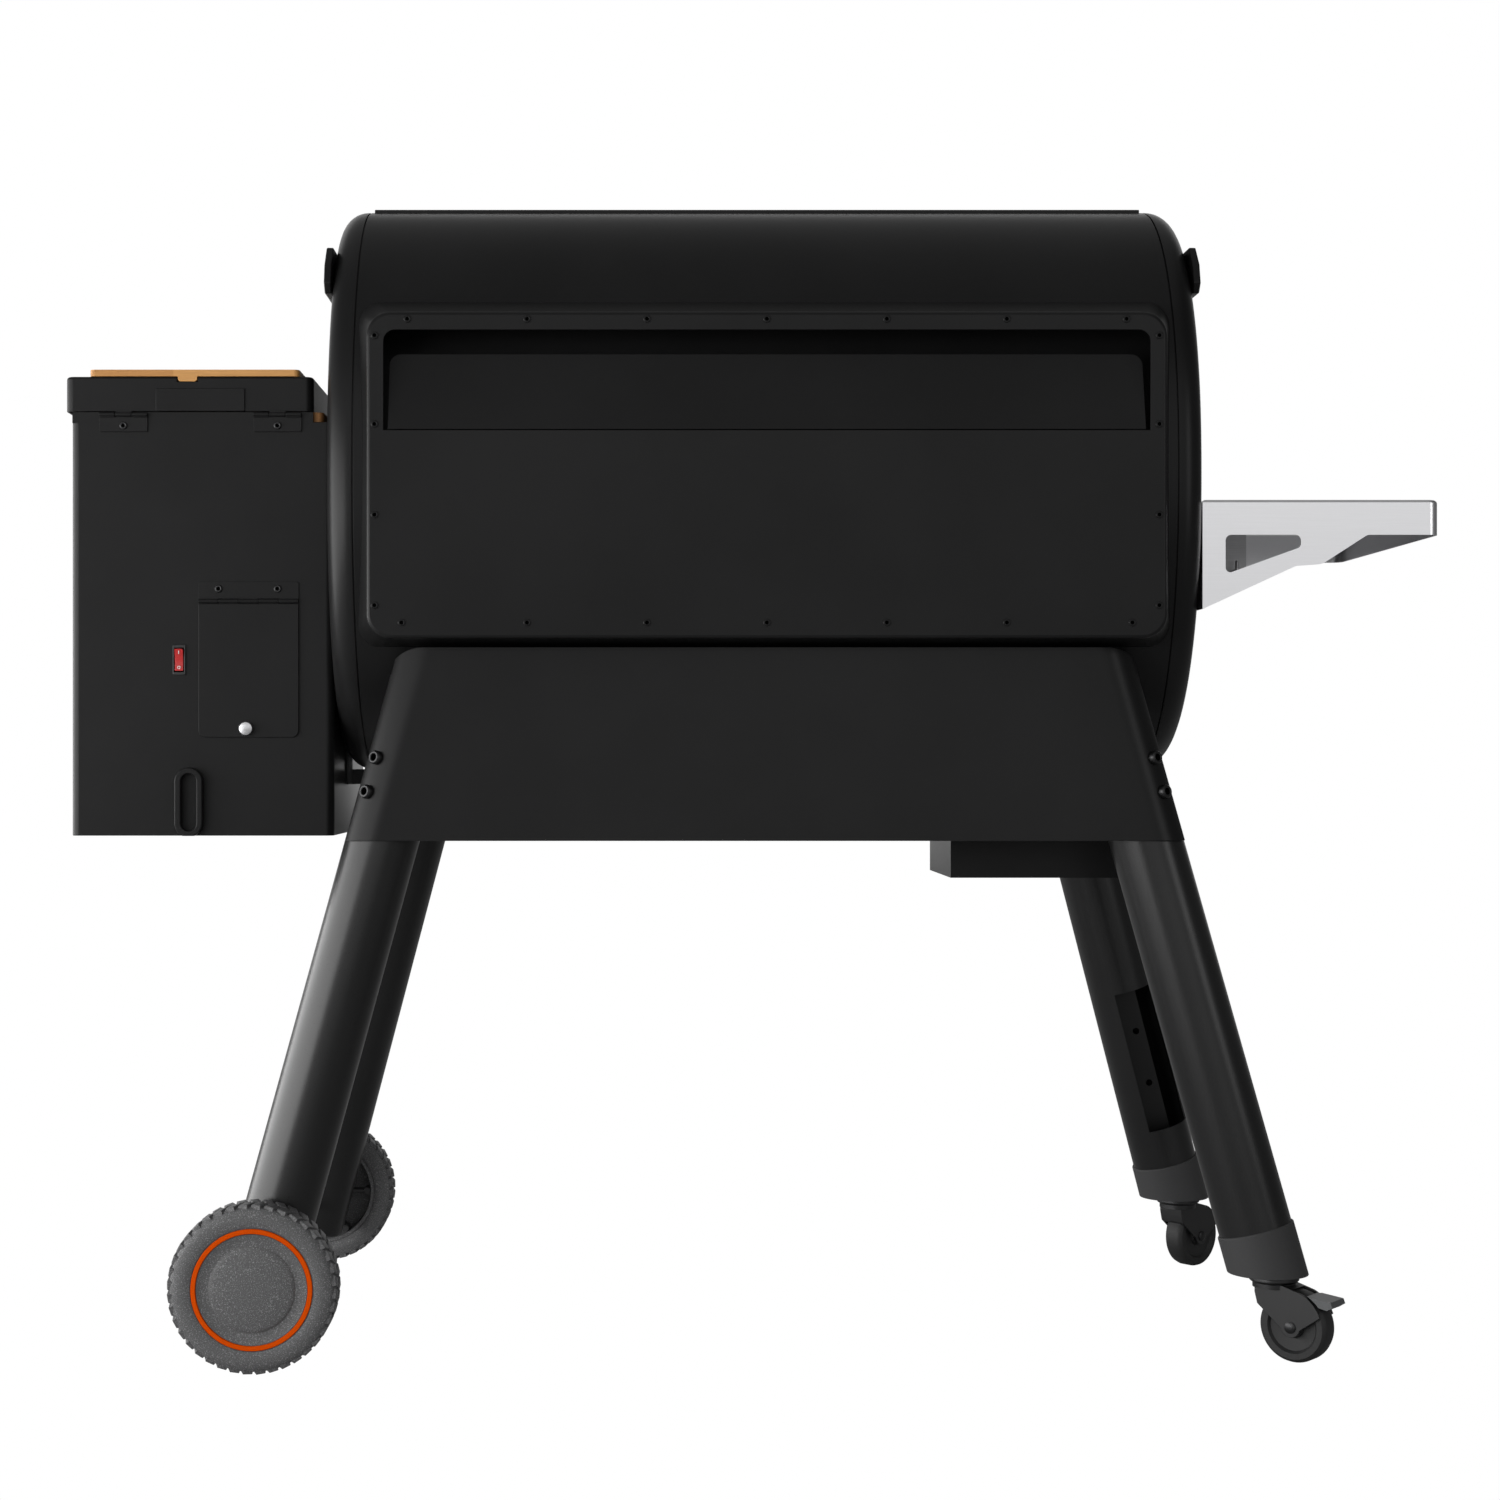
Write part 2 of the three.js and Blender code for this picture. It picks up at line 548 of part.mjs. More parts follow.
function pedalRoom(fork, wheelRoom, pinX) {
  const pinZ = brake.pinZ;
  const shifts = [[0, 0, GAP], [GAP, 0, 0], [0, GAP, 0], [0, -GAP, 0]];
  const near = shifts.map((shift) => moved(fork, new THREE.Matrix4().makeTranslation(...shift)));
  const solid = joined(fork, ...near, wheelRoom);
  const room = [];
  for (let step = 0; step <= brake.steps; step += 1) {
    const back = new THREE.Matrix4().makeRotationY(-brake.press * step / brake.steps);
    const place = new THREE.Matrix4().makeTranslation(pinX, 0, pinZ).multiply(back);
    room.push(moved(solid, place.multiply(new THREE.Matrix4().makeTranslation(-pinX, 0, -pinZ))));
  }
  return room;
}

function casterParts(sy, name) {
  const [x, y] = [-caster.x, sy * caster.y];
  const [wx, wy, wz] = [x - caster.trailX, y + sy * caster.trailY, caster.wheelRadius];
  const away = new THREE.Vector2(-caster.trailX, sy * caster.trailY);
  const heading = away.angle();
  const turn = new THREE.Matrix4().makeTranslation(x, y, 0).multiply(
    new THREE.Matrix4().makeRotationZ(heading),
  );
  const trail = away.length();
  const ear = new THREE.Shape();
  ear.moveTo(-24, 79.9);
  ear.lineTo(20, 79.9);
  ear.absarc(trail - 2, 40, 38, 1.1, 0.35, true);
  ear.lineTo(trail + 10, 36);
  ear.absarc(trail, caster.wheelRadius, 10, 0, -Math.PI, true);
  ear.lineTo(-24, 70);
  const gapHalf = caster.wheelHalf + 1;
  let fork = alongY(ear, -gapHalf - 3, gapHalf + 3);
  const inside = joined(
    rod(caster.wheelRadius + 2, [trail, -gapHalf, wz], [trail, gapHalf, wz], 20),
    block(-60, trail, -gapHalf, gapHalf, 0, 72),
    block(trail - 1, 100, -gapHalf, gapHalf, 0, 60),
  );
  fork = without(fork, inside);
  fork = joined(fork, rod(5.6, [0, 0, 78], [0, 0, 86], 16), rod(22, [0, 0, 74.5], [0, 0, 79.9], 20));
  fork = fork.add(rod(caster.axleRadius, [trail, -19, wz], [trail, 19, wz], 20));
  part(`caster_fork_${name}`, moved(fork, turn), 'plastic');
  const tread = turned([
    [0, -caster.wheelHalf],
    [caster.wheelRadius - 4, -caster.wheelHalf],
    [caster.wheelRadius - 1, -caster.wheelHalf + 3],
    [caster.wheelRadius, 0],
    [caster.wheelRadius - 1, caster.wheelHalf - 3],
    [caster.wheelRadius - 4, caster.wheelHalf],
    [0, caster.wheelHalf],
  ], [trail, 0, wz], [0, 1, 0], 24);
  const axleHole = rod(caster.axleRadius + 0.2, [trail, -30, wz], [trail, 30, wz], 20);
  part(`caster_wheel_${name}`, moved(tread.subtract(axleHole), turn), 'rubber');
  if (sy > 0) {
    const pedal = new THREE.Shape();
    pedal.moveTo(trail + 12, 66);
    pedal.lineTo(trail + 40, 60);
    pedal.lineTo(trail + 46, 64);
    pedal.lineTo(trail + 44, 69);
    pedal.lineTo(trail + 14, 72);
    const half = gapHalf + 2;
    const wheelRoom = rod(caster.wheelRadius + 1, [trail, -30, wz], [trail, 30, wz], 24);
    const body = without(alongY(pedal, -half, half), ...pedalRoom(fork, wheelRoom, trail + 17));
    part('caster_brake_pedal', moved(largest(body), turn), 'silver');
  }
}

for (const [sy, name] of [[1, 'rear'], [-1, 'front']]) {
  part(`leg_cap_${name}`, legCap(sy), 'grey');
  casterParts(sy, name);
}

// ---------------------------------------------------------------- hopper

const hopperOutline = (inset) => roundedRect(
  hopper.left + inset, hopper.right - inset, hopper.front + inset, hopper.rear - inset, hopper.corner - inset,
);
const hopperMouth = { left: 495, right: 745, front: -170, rear: 112 };
const mouthShape = (grow) => roundedRect(
  hopperMouth.left - grow, hopperMouth.right + grow, hopperMouth.front - grow, hopperMouth.rear + grow, 8,
);

const hopperShell = without(
  alongZ(hopperOutline(0), hopper.low, hopper.high),
  alongZ(hopperOutline(hopper.sheet), hopper.low + hopper.sheet, hopper.high - hopper.sheet),
  alongZ(mouthShape(0), hopper.high - 10, hopper.high + 10),
  block(doorway.left, doorway.right, 100, 140, doorway.low, doorway.high),
  block(628.6, 639.2, 100, 140, 720.6, 746.6),
  rod(auger.tubeOuter + 1, [460, auger.y, auger.z], [475, auger.y, auger.z]),
  rod(fan.duct, [460, fan.y, fan.z], [475, fan.y, fan.z]),
);
const rainCollar = alongZ(mouthShape(3), hopper.high - 1, 1018).subtract(alongZ(mouthShape(0), 980, 1030));

function funnelSkin(inset) {
  const ring = (left, right, front, rear, z) => [
    [left + inset, front + inset],
    [right - inset, front + inset],
    [right - inset, rear - inset],
    [left + inset, rear - inset],
  ].map(([x, y]) => new THREE.Vector3(x, y, z));
  const over = inset > 0 ? 1 : 0;
  return lofted([
    ring(500, 620, auger.y - 26, auger.y + 26, 724 - over),
    ring(472, 746, hopper.front + 6, hopper.rear - 6, 930 + over),
  ], (point) => new THREE.Vector2(point.x, point.y));
}
part('hopper_funnel', funnelSkin(0).subtract(funnelSkin(2)), 'inside');

const lidOutline = (inset) => roundedRect(
  hopperLid.left + inset, hopperLid.right - inset,
  hopperLid.front + inset, hopperLid.rear - inset, hopperLid.corner - inset,
);
const lidPad = block(562.3, 659.3, hopperLid.rear - 1, hopperLid.rear + 2, hopperLid.low, 1029.6);
const hopperHinges = [[500.2, 552.5], [668.1, 720.4]];
const hingeBarrel = (radius, from, to) => rod(
  radius,
  [from, hopperLid.pivotY, hopperLid.pivotZ],
  [to, hopperLid.pivotY, hopperLid.pivotZ],
  8,
);
const hingeTongues = hopperHinges.map(([left, right]) => {
  const third = (right - left) / 3;
  return joined(
    block(left + third, right - third, hopper.rear - 1, hopper.rear + 2.3, 1006, 1012),
    block(left + third, right - third, hopper.rear + GAP, hopper.rear + 2.3, 1000.8, 1007),
    hingeBarrel(2.2, left + third, right - third),
  );
});
const hingeLeaves = hopperHinges.map(([left, right]) => {
  const third = (right - left) / 3;
  return joined(
    block(left, right, hopper.rear - 1, hopper.rear + 2.3, 982.3, 992.6),
    block(left, right, hopper.rear + GAP, hopper.rear + 4, 992.4, hopperLid.pivotZ),
    hingeBarrel(2.2, left, left + third),
    hingeBarrel(2.2, right - third, right),
  ).subtract(hingeBarrel(4.2, left + third - 0.5, right - third + 0.5));
});
part('hopper_lid', without(
  joined(alongZ(lidOutline(0), hopperLid.low, hopperLid.high), lidPad, ...hingeTongues),
  alongZ(lidOutline(2.5), hopperLid.low - 1, hopperLid.high - 2.5),
  block(board.tabLeft - 1, board.tabRight + 1, hopperLid.rear - 12, 130, board.tabLow - 0.4, 1050),
), 'black');

part('cutting_board', joined(
  alongZ(
    roundedRect(board.left, board.right, board.front, hopperLid.rear, 6), hopperLid.high + GAP, board.high,
  ),
  block(board.tabLeft, board.tabRight, hopperLid.rear - 11, hopperLid.rear, board.tabLow, hopperLid.high + 1),
), 'bamboo');

// A bracket at the foot of the rear wall holds the wound-up lead.
const cordBracket = without(
  alongY(roundedRect(607, 637.6, 540.8, 616.3, 15.2), hopper.rear - 1, hopper.rear + 12),
  alongY(roundedRect(613.7, 630.4, 547.5, 609.7, 8.3), hopper.rear - 5, hopper.rear + 20),
  block(600, 645, 100, 140, 530, hopper.low),
);
part('hopper_body', joined(hopperShell, rainCollar, cordBracket, ...hingeLeaves), 'black');

// The clean-out door hangs from a piano hinge on the hopper's rear wall.
const doorKnuckles = 5;
const knuckleRun = (cleanDoor.right - cleanDoor.left) / doorKnuckles;
const knuckleY = hopper.rear + cleanDoor.pin + 0.6;
function knuckles(parity) {
  const list = [];
  for (let i = parity; i < doorKnuckles; i += 2) {
    const from = cleanDoor.left + i * knuckleRun + GAP / 2;
    const to = from + knuckleRun - GAP;
    list.push(rod(cleanDoor.pin, [from, knuckleY, cleanDoor.pivotZ], [to, knuckleY, cleanDoor.pivotZ], 8));
  }
  return joined(...list);
}
const hingeFlange = block(
  cleanDoor.left, cleanDoor.right, hopper.rear + GAP, hopper.rear + 1.8, cleanDoor.pivotZ + 2.9, 818.7,
);
const fixedWeb = [];
const doorWeb = [];
for (let i = 0; i < doorKnuckles; i += 1) {
  const from = cleanDoor.left + i * knuckleRun + GAP / 2;
  const to = from + knuckleRun - GAP;
  if (i % 2 === 0) fixedWeb.push(
    block(from, to, hopper.rear + GAP, hopper.rear + 1.8, cleanDoor.pivotZ, cleanDoor.pivotZ + 3),
  );
  else doorWeb.push(
    block(from, to, hopper.rear + GAP + 0.2, hopper.rear + 1.8, cleanDoor.pivotZ - 3, cleanDoor.pivotZ),
  );
}
part('cleanout_hinge_leaf', joined(hingeFlange, ...fixedWeb, knuckles(0)), 'steel');
const doorPanel = alongY(
  roundedRect(cleanDoor.left, cleanDoor.right, cleanDoor.low, cleanDoor.pivotZ - 2.9 + 8, cleanDoor.corner),
  hopper.rear + GAP + 0.2,
  hopper.rear + 3,
).subtract(block(490, 630, 110, 140, cleanDoor.pivotZ - 2.9, 830));
part('cleanout_door', joined(doorPanel, ...doorWeb, knuckles(1)).subtract(
  rod(3.3, [knob.x, 100, knob.z], [knob.x, 140, knob.z], 16),
), 'black');
part('cleanout_knob', turned([
  [0, 124], [3, 124], [3, 126.4], [knob.radius - 1, 126.4], [knob.radius, 127.4], [knob.radius, 133],
  [knob.radius - 1.5, 134.5], [0, 134.5],
], [knob.x, 0, knob.z], [0, 1, 0], 16), 'steel');

// The mains switch sits in the rear wall, over the bracket that its lead is wound on.
const rockerPivot = { y: hopper.rear + 1, z: 733.7 };
part('switch_bezel', without(
  block(626.7, 640.8, hopper.rear + GAP, hopper.rear + 2, 717.3, 750),
  block(628.5, 639.3, 100, 140, 720.5, 746.7),
), 'plastic');
const rockerShape = polygon([
  [rockerPivot.y - 9, 724], [rockerPivot.y + 1.6, 721.6], [rockerPivot.y + 1.2, rockerPivot.z],
  [rockerPivot.y + 4, 745.6], [rockerPivot.y - 9, 743.4],
]);
part('switch_rocker', alongX(rockerShape, 629.3, 638.5), 'red');

// The controller faces the cook on the hopper's front wall.
const panelFront = hopper.front - GAP - controller.depth;
const buttonXs = [630, 680];
const controllerPanel = alongY(
  roundedRect(controller.left, controller.right, controller.low, controller.high, 8),
  panelFront,
  hopper.front - GAP,
);
const buttonHoles = buttonXs.map(
  (x) => rod(8.4, [x, -230, controller.buttonZ], [x, hopper.front - 2, controller.buttonZ], 20),
);
const dialHole = rod(
  4.4, [controller.dialX, -230, controller.dialZ], [controller.dialX, hopper.front - 2, controller.dialZ],
  16,
);
const screenRecess = block(618, 696, panelFront - 1, panelFront + 1.8, 905, 948);
part('controller_panel', without(controllerPanel, dialHole, screenRecess, ...buttonHoles), 'plastic');
const dial = joined(
  rod(
    24, [controller.dialX, panelFront - 20, controller.dialZ],
    [controller.dialX, panelFront - 1, controller.dialZ], 20,
  ),
  rod(
    4, [controller.dialX, panelFront - 2, controller.dialZ],
    [controller.dialX, panelFront + 9, controller.dialZ], 16,
  ),
);
part('controller_dial', dial, 'steel');
buttonXs.forEach((x, i) => {
  part(
    `controller_button_${i + 1}`,
    rod(8, [x, panelFront - 3, controller.buttonZ], [x, panelFront + 6, controller.buttonZ], 20),
    'plastic',
  );
});

// ---------------------------------------------------------------- side shelf

const shelfSkirt = new THREE.Shape();
shelfSkirt.moveTo(-shelf.inner, shelf.top);
shelfSkirt.lineTo(-shelf.inner, 785);
shelfSkirt.lineTo(-566, 831);
shelfSkirt.quadraticCurveTo(-571, 832.6, -588, 833);
shelfSkirt.quadraticCurveTo(-594, 833, -600, 837);
shelfSkirt.lineTo(-642, shelf.rimLow);
shelfSkirt.lineTo(-shelf.outer, shelf.rimLow);
shelfSkirt.lineTo(-shelf.outer, shelf.top);
const skirtWindow = new THREE.Shape();
skirtWindow.moveTo(-571, 858);
skirtWindow.quadraticCurveTo(-571, 864, -565, 864);
skirtWindow.lineTo(-497, 864);
skirtWindow.quadraticCurveTo(-491, 864, -491, 858);
skirtWindow.lineTo(-491, 831);
skirtWindow.quadraticCurveTo(-491, 824, -498, 826.5);
skirtWindow.lineTo(-567, 850);
skirtWindow.quadraticCurveTo(-571, 851.5, -571, 858);
const shelfPlan = (inset) => {
  const shape = new THREE.Shape();
  const [x, y, r] = [-shelf.outer + inset, shelf.half - inset, shelf.corner - inset];
  shape.moveTo(-shelf.inner + (inset > 0 ? 5 : 0), -y);
  shape.lineTo(-shelf.inner + (inset > 0 ? 5 : 0), y);
  shape.lineTo(x + r, y);
  shape.absarc(x + r, y - r, r, Math.PI / 2, Math.PI, false);
  shape.absarc(x + r, -y + r, r, Math.PI, 1.5 * Math.PI, false);
  return shape;
};
part('side_shelf', without(
  alongZ(shelfPlan(0), 760, shelf.top).intersect(alongY(shelfSkirt, -300, 300)),
  alongY(skirtWindow, -300, 300),
  alongZ(shelfPlan(shelf.sheet), 750, shelf.top - shelf.sheet),
), 'stainless');

// A rail of hooks under the shelf takes tools.
const hookRail = block(-600, -500, -176, -172, 850, shelf.top - shelf.sheet - GAP);
const hooks = [-585, -550, -515].map((x) => joined(
  block(x - 2, x + 2, -172.5, -155, 850, 854),
  block(x - 2, x + 2, -158, -154, 850, 864),
));
part('tool_hooks', joined(hookRail, ...hooks), 'steel');
const railHalf = shelf.half - shelf.sheet - GAP;
part('shelf_rail', joined(
  block(-474, -466.8, -railHalf, railHalf, 800, 890),
  ...[-1, 1].map(
    (side) => block(-600, -466.8, side * (railHalf - 1.5) - 1.5, side * (railHalf - 1.5) + 1.5, 868, 890),
  ),
), 'tube');

// ---------------------------------------------------------------- grease box

const greaseHousing = without(
  block(-grease.right, -grease.left, -grease.half, grease.half, grease.low, grease.high),
  block(
    -grease.right + 2, -grease.left - 2, -grease.half + 2, grease.half - 2, grease.low + 2, grease.high - 2,
  ),
  block(
    -grease.right - 10, -grease.left - 12, -grease.half + 8, grease.half - 8, grease.low - 5,
    grease.low + 5,
  ),
  block(
    -grease.right - 5, -grease.right + 5, -grease.half + 2, grease.half - 2, grease.low + 2,
    grease.trayHigh + 3,
  ),
  rod(21, [-grease.drainX, 0, 580], [-grease.drainX, 0, 610]),
);
const trayHalf = grease.half - 3;
part('grease_tray', joined(
  without(
    block(-grease.right - 1, -grease.left - 4, -trayHalf, trayHalf, grease.trayLow, grease.trayHigh),
    block(
      -grease.right + 2, -grease.left - 6, -trayHalf + 2, trayHalf - 2, grease.trayLow + 2,
      grease.trayHigh + 1,
    ),
  ),
  block(-grease.right - 14, -grease.right - 1, -40, 40, grease.trayHigh - 10, grease.trayHigh - 6),
), 'steel');
const greaseDrain = without(
  rod(24, [-grease.drainX, 0, grease.high - 1], [-grease.drainX, 0, 700], 20),
  rod(20, [-grease.drainX, 0, 590], [-grease.drainX, 0, 720], 20),
  barrelSlug(-GAP, -430, 430),
);
part('grease_housing', greaseHousing.add(greaseDrain), 'black');

// ---------------------------------------------------------------- fire, feed and grates

part('fire_pot', without(
  rod(firePot.radius, [0, firePot.y, firePot.low], [0, firePot.y, firePot.high], 20),
  rod(firePot.radius - firePot.wall, [0, firePot.y, firePot.low + 4], [0, firePot.y, firePot.high + 1], 20),
  rod(auger.tubeOuter + 1.5, [20, auger.y, auger.z], [100, auger.y, auger.z]),
).add(rod(6, [-150, firePot.y, 670], [-50, firePot.y, 670], 16)), 'inside');
part('auger_tube', without(
  rod(auger.tubeOuter, [auger.from - 20, auger.y, auger.z], [auger.to, auger.y, auger.z], 20),
  rod(auger.tubeInner, [auger.from - 30, auger.y, auger.z], [auger.to - 3, auger.y, auger.z], 20),
  rod(auger.shaft + 0.5, [auger.to - 10, auger.y, auger.z], [auger.to + 10, auger.y, auger.z], 20),
  block(503, 617, auger.y - 23, auger.y + 23, auger.z, auger.z + 60),
), 'inside');

// The screw's flight is a square-edged ribbon wound round its shaft.
function augerFlight() {
  const perTurn = 6;
  const turns = (auger.to - 20 - auger.from) / auger.pitch;
  const rings = [];
  for (let i = 0; i <= Math.round(turns * perTurn); i += 1) {
    const angle = (i / perTurn) * 2 * Math.PI;
    const x = auger.from + (i / perTurn) * auger.pitch;
    const at = (radius, dx) => new THREE.Vector3(
      x + dx, auger.y + radius * Math.cos(angle), auger.z + radius * Math.sin(angle),
    );
    rings.push([at(auger.shaft - 2, -2), at(auger.flight, -2), at(auger.flight, 2), at(auger.shaft - 2, 2)]);
  }
  const square = [
    new THREE.Vector2(0, 0), new THREE.Vector2(1, 0), new THREE.Vector2(1, 1), new THREE.Vector2(0, 1),
  ];
  let corner = 0;
  return lofted(rings, () => square[corner++ % 4]);
}
const augerShaft = rod(
  auger.shaft, [auger.from - 6, auger.y, auger.z], [auger.to + 12, auger.y, auger.z], 20,
);
part('auger', augerShaft.add(augerFlight()), 'steel');
part('auger_motor', joined(
  rod(34, [auger.to + 12.6, auger.y, auger.z], [auger.to + 70, auger.y, auger.z], 20),
  block(auger.to + 12.6, auger.to + 24, auger.y - 40, auger.y + 40, auger.z - 40, auger.z + 40),
), 'steel');

part('fan_housing', without(
  rod(fan.radius, [fan.from, fan.y, fan.z], [fan.to, fan.y, fan.z], 20),
  rod(fan.radius - 3, [fan.from + 3, fan.y, fan.z], [fan.to - 3, fan.y, fan.z], 20),
  rod(fan.duct - 2, [fan.from - 5, fan.y, fan.z], [fan.from + 8, fan.y, fan.z]),
  rod(12, [fan.to - 8, fan.y, fan.z], [fan.to + 5, fan.y, fan.z]),
), 'plastic');
const blades = [];
for (let i = 0; i < 8; i += 1) {
  const blade = new THREE.BoxGeometry(fan.blade, 3, 30).translate((fan.from + fan.to) / 2, 0, 24);
  blades.push(solidOf(blade.rotateX(i * Math.PI / 4).translate(0, fan.y, fan.z)));
}
part('fan_wheel', joined(
  rod(10.5, [fan.from + 12, fan.y, fan.z], [fan.to + 6, fan.y, fan.z], 20),
  ...blades,
), 'plastic');

part('heat_baffle', joined(
  block(-330, 330, -175, 125, 764, 767),
  ...[[-1, -110], [-1, 30], [1, -110], [1, 30]].map(([side, y]) => (
    block(side * 325 - 2, side * 325 + 2, y, y + 30, 660, 766)
  )),
), 'inside');
const dripSlope = 0.03;
const drip = new THREE.BoxGeometry(830, 390, 2.5).rotateY(dripSlope).translate(0, -25, 800);
const dripRim = [-1, 1].map((side) => solidOf(
  new THREE.BoxGeometry(830, 2.5, 14).translate(0, side * 193, 6).rotateY(dripSlope).translate(0, -25, 800),
));
part('drip_tray', joined(solidOf(drip), ...dripRim), 'inside');

function grate(z, halfX, front, rear) {
  const bars = [];
  for (let x = -halfX + 15; x < halfX; x += 200) bars.push(
    block(x - 2.5, x + 2.5, front + 2, rear - 2, z, z + 5),
  );
  const rails = [front, (front + rear) / 2, rear].map(
    (y) => block(-halfX, halfX, y - 3, y + 3, z - 5, z + 1),
  );
  return joined(...bars, ...rails);
}
part('lower_grate', grate(885, 415, -235, 185), 'steel');
part('upper_grate', grate(1010, 415, -150, 120), 'steel');
part('temperature_probe', rod(4, [425, 60, 1060], [330, 60, 1060], 16), 'steel');

grill.position.x = BARREL_TO_ORIGIN;

export default grill;
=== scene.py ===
"""The finished look of the pellet smoker grill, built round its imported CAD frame.

Lengths are in metres and positions come from the frame. MM turns millimetres into metres.
"""
import json
import math

import bmesh
import bpy
from mathutils import Matrix, Vector


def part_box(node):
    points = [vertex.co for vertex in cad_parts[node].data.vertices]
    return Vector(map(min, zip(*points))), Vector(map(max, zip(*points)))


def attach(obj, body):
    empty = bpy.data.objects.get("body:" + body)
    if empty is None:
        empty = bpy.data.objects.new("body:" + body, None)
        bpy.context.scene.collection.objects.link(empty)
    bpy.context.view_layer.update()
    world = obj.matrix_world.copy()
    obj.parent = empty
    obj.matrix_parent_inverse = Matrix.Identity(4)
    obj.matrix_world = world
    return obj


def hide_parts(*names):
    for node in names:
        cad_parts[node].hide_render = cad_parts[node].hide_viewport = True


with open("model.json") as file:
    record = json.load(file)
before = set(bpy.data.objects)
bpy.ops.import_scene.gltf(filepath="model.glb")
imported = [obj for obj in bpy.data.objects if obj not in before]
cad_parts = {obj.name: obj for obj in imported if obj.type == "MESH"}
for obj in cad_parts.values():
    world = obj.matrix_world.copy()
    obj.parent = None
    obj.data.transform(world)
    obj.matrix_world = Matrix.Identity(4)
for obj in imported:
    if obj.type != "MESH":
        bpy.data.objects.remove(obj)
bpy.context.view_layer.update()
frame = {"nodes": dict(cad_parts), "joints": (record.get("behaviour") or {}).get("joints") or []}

MM = 0.001
JOINTS = {joint["name"]: joint for joint in frame["joints"]}
PIVOT = {name: Vector(joint["pos_m"]) for name, joint in JOINTS.items() if joint.get("pos_m")}
FACES = ((1, "rear"), (-1, "front"))
SIDES = ((1, "hopper_side"), (-1, "shelf_side"))
X, Y, Z = Vector((1, 0, 0)), Vector((0, 1, 0)), Vector((0, 0, 1))

# ---------------------------------------------------------------- places taken from the frame

shelf_end_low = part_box("body_end_shelf_side")[0]
hopper_end_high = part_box("body_end_hopper_side")[1]
lid_low, lid_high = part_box("lid_end_shelf_side")
shell_low, shell_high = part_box("barrel_shell")

MID = (shelf_end_low.x + hopper_end_high.x) / 2
BARREL_Y = (lid_low.y + shell_high.y) / 2
BARREL_Z = (shell_low.z + lid_high.z) / 2
HALF_DEPTH = (shell_high.y - lid_low.y) / 2
HALF_HEIGHT = (lid_high.z - shell_low.z) / 2
BODY_HALF = (shell_high.x - shell_low.x) / 2
CAP_HALF = BODY_HALF + 29.6 * MM
POWER = 2.2
SHEET = 2.5 * MM
SMOOTH_STEPS = 160
# Two runs along X for cutting tools, both of them longer than the barrel.
LONG = (MID - 0.5, MID + 0.5)
SNUG = (MID - 0.47, MID + 0.47)

# ---------------------------------------------------------------- materials


def shader(name, color, roughness, metallic=0.0, **sockets):
    """A material with its principled shader; sockets are set by their names with underscores."""
    made = bpy.data.materials.new(name)
    made.use_nodes = True
    bsdf = made.node_tree.nodes["Principled BSDF"]
    bsdf.inputs["Base Color"].default_value = (*color, 1)
    bsdf.inputs["Roughness"].default_value = roughness
    bsdf.inputs["Metallic"].default_value = metallic
    for key, value in sockets.items():
        bsdf.inputs[key.replace("_", " ")].default_value = value
    return made, made.node_tree, bsdf


def noise(tree, scale, detail=2.0, stretch=(1, 1, 1), rough=0.5):
    """A noise texture on object coordinates, stretched along the axes."""
    coords = tree.nodes.new("ShaderNodeTexCoord")
    mapping = tree.nodes.new("ShaderNodeMapping")
    mapping.inputs["Scale"].default_value = stretch
    texture = tree.nodes.new("ShaderNodeTexNoise")
    texture.inputs["Scale"].default_value = scale
    texture.inputs["Detail"].default_value = detail
    texture.inputs["Roughness"].default_value = rough
    tree.links.new(coords.outputs["Object"], mapping.inputs["Vector"])
    tree.links.new(mapping.outputs["Vector"], texture.inputs["Vector"])
    return texture.outputs["Fac"]


def ramp(tree, fac, stops):
    """A colour ramp; stops are (place, colour) pairs."""
    node = tree.nodes.new("ShaderNodeValToRGB")
    elements = node.color_ramp.elements
    while len(elements) < len(stops):
        elements.new(0.5)
    for element, (place, color) in zip(elements, stops):
        element.position = place
        element.color = (*color, 1)
    tree.links.new(fac, node.inputs["Fac"])
    return node.outputs["Color"]


def spread(tree, fac, low, high):
    """Maps a 0 to 1 value on to low to high."""
    node = tree.nodes.new("ShaderNodeMapRange")
    node.inputs["To Min"].default_value = low
    node.inputs["To Max"].default_value = high
    tree.links.new(fac, node.inputs["Value"])
    return node.outputs["Result"]


def bump(tree, bsdf, height, strength, distance):
    """Roughens the surface normal with a height."""
    node = tree.nodes.new("ShaderNodeBump")
    node.inputs["Strength"].default_value = strength
    node.inputs["Distance"].default_value = distance
    tree.links.new(height, node.inputs["Height"])
    tree.links.new(node.outputs["Normal"], bsdf.inputs["Normal"])


def grey(value):
    return (value, value, value * 1.02)


def powder_coat(name, tone, roughness, grain, specular=0.5, **sockets):
    """Baked powder coat: a fine pebbled skin with a slight drift in tone and gloss."""
    made, tree, bsdf = shader(name, grey(tone), roughness, Specular_IOR_Level=specular, **sockets)
    drift = noise(tree, 7, 3)
    color = ramp(tree, drift, [(0.3, grey(tone * 0.86)), (0.7, grey(tone * 1.16))])
    tree.links.new(color, bsdf.inputs["Base Color"])
    pebbles = noise(tree, 1500, 2)
    tree.links.new(spread(tree, pebbles, roughness - 0.07, roughness + 0.07), bsdf.inputs["Roughness"])
    bump(tree, bsdf, pebbles, grain, 0.0002)
    return made


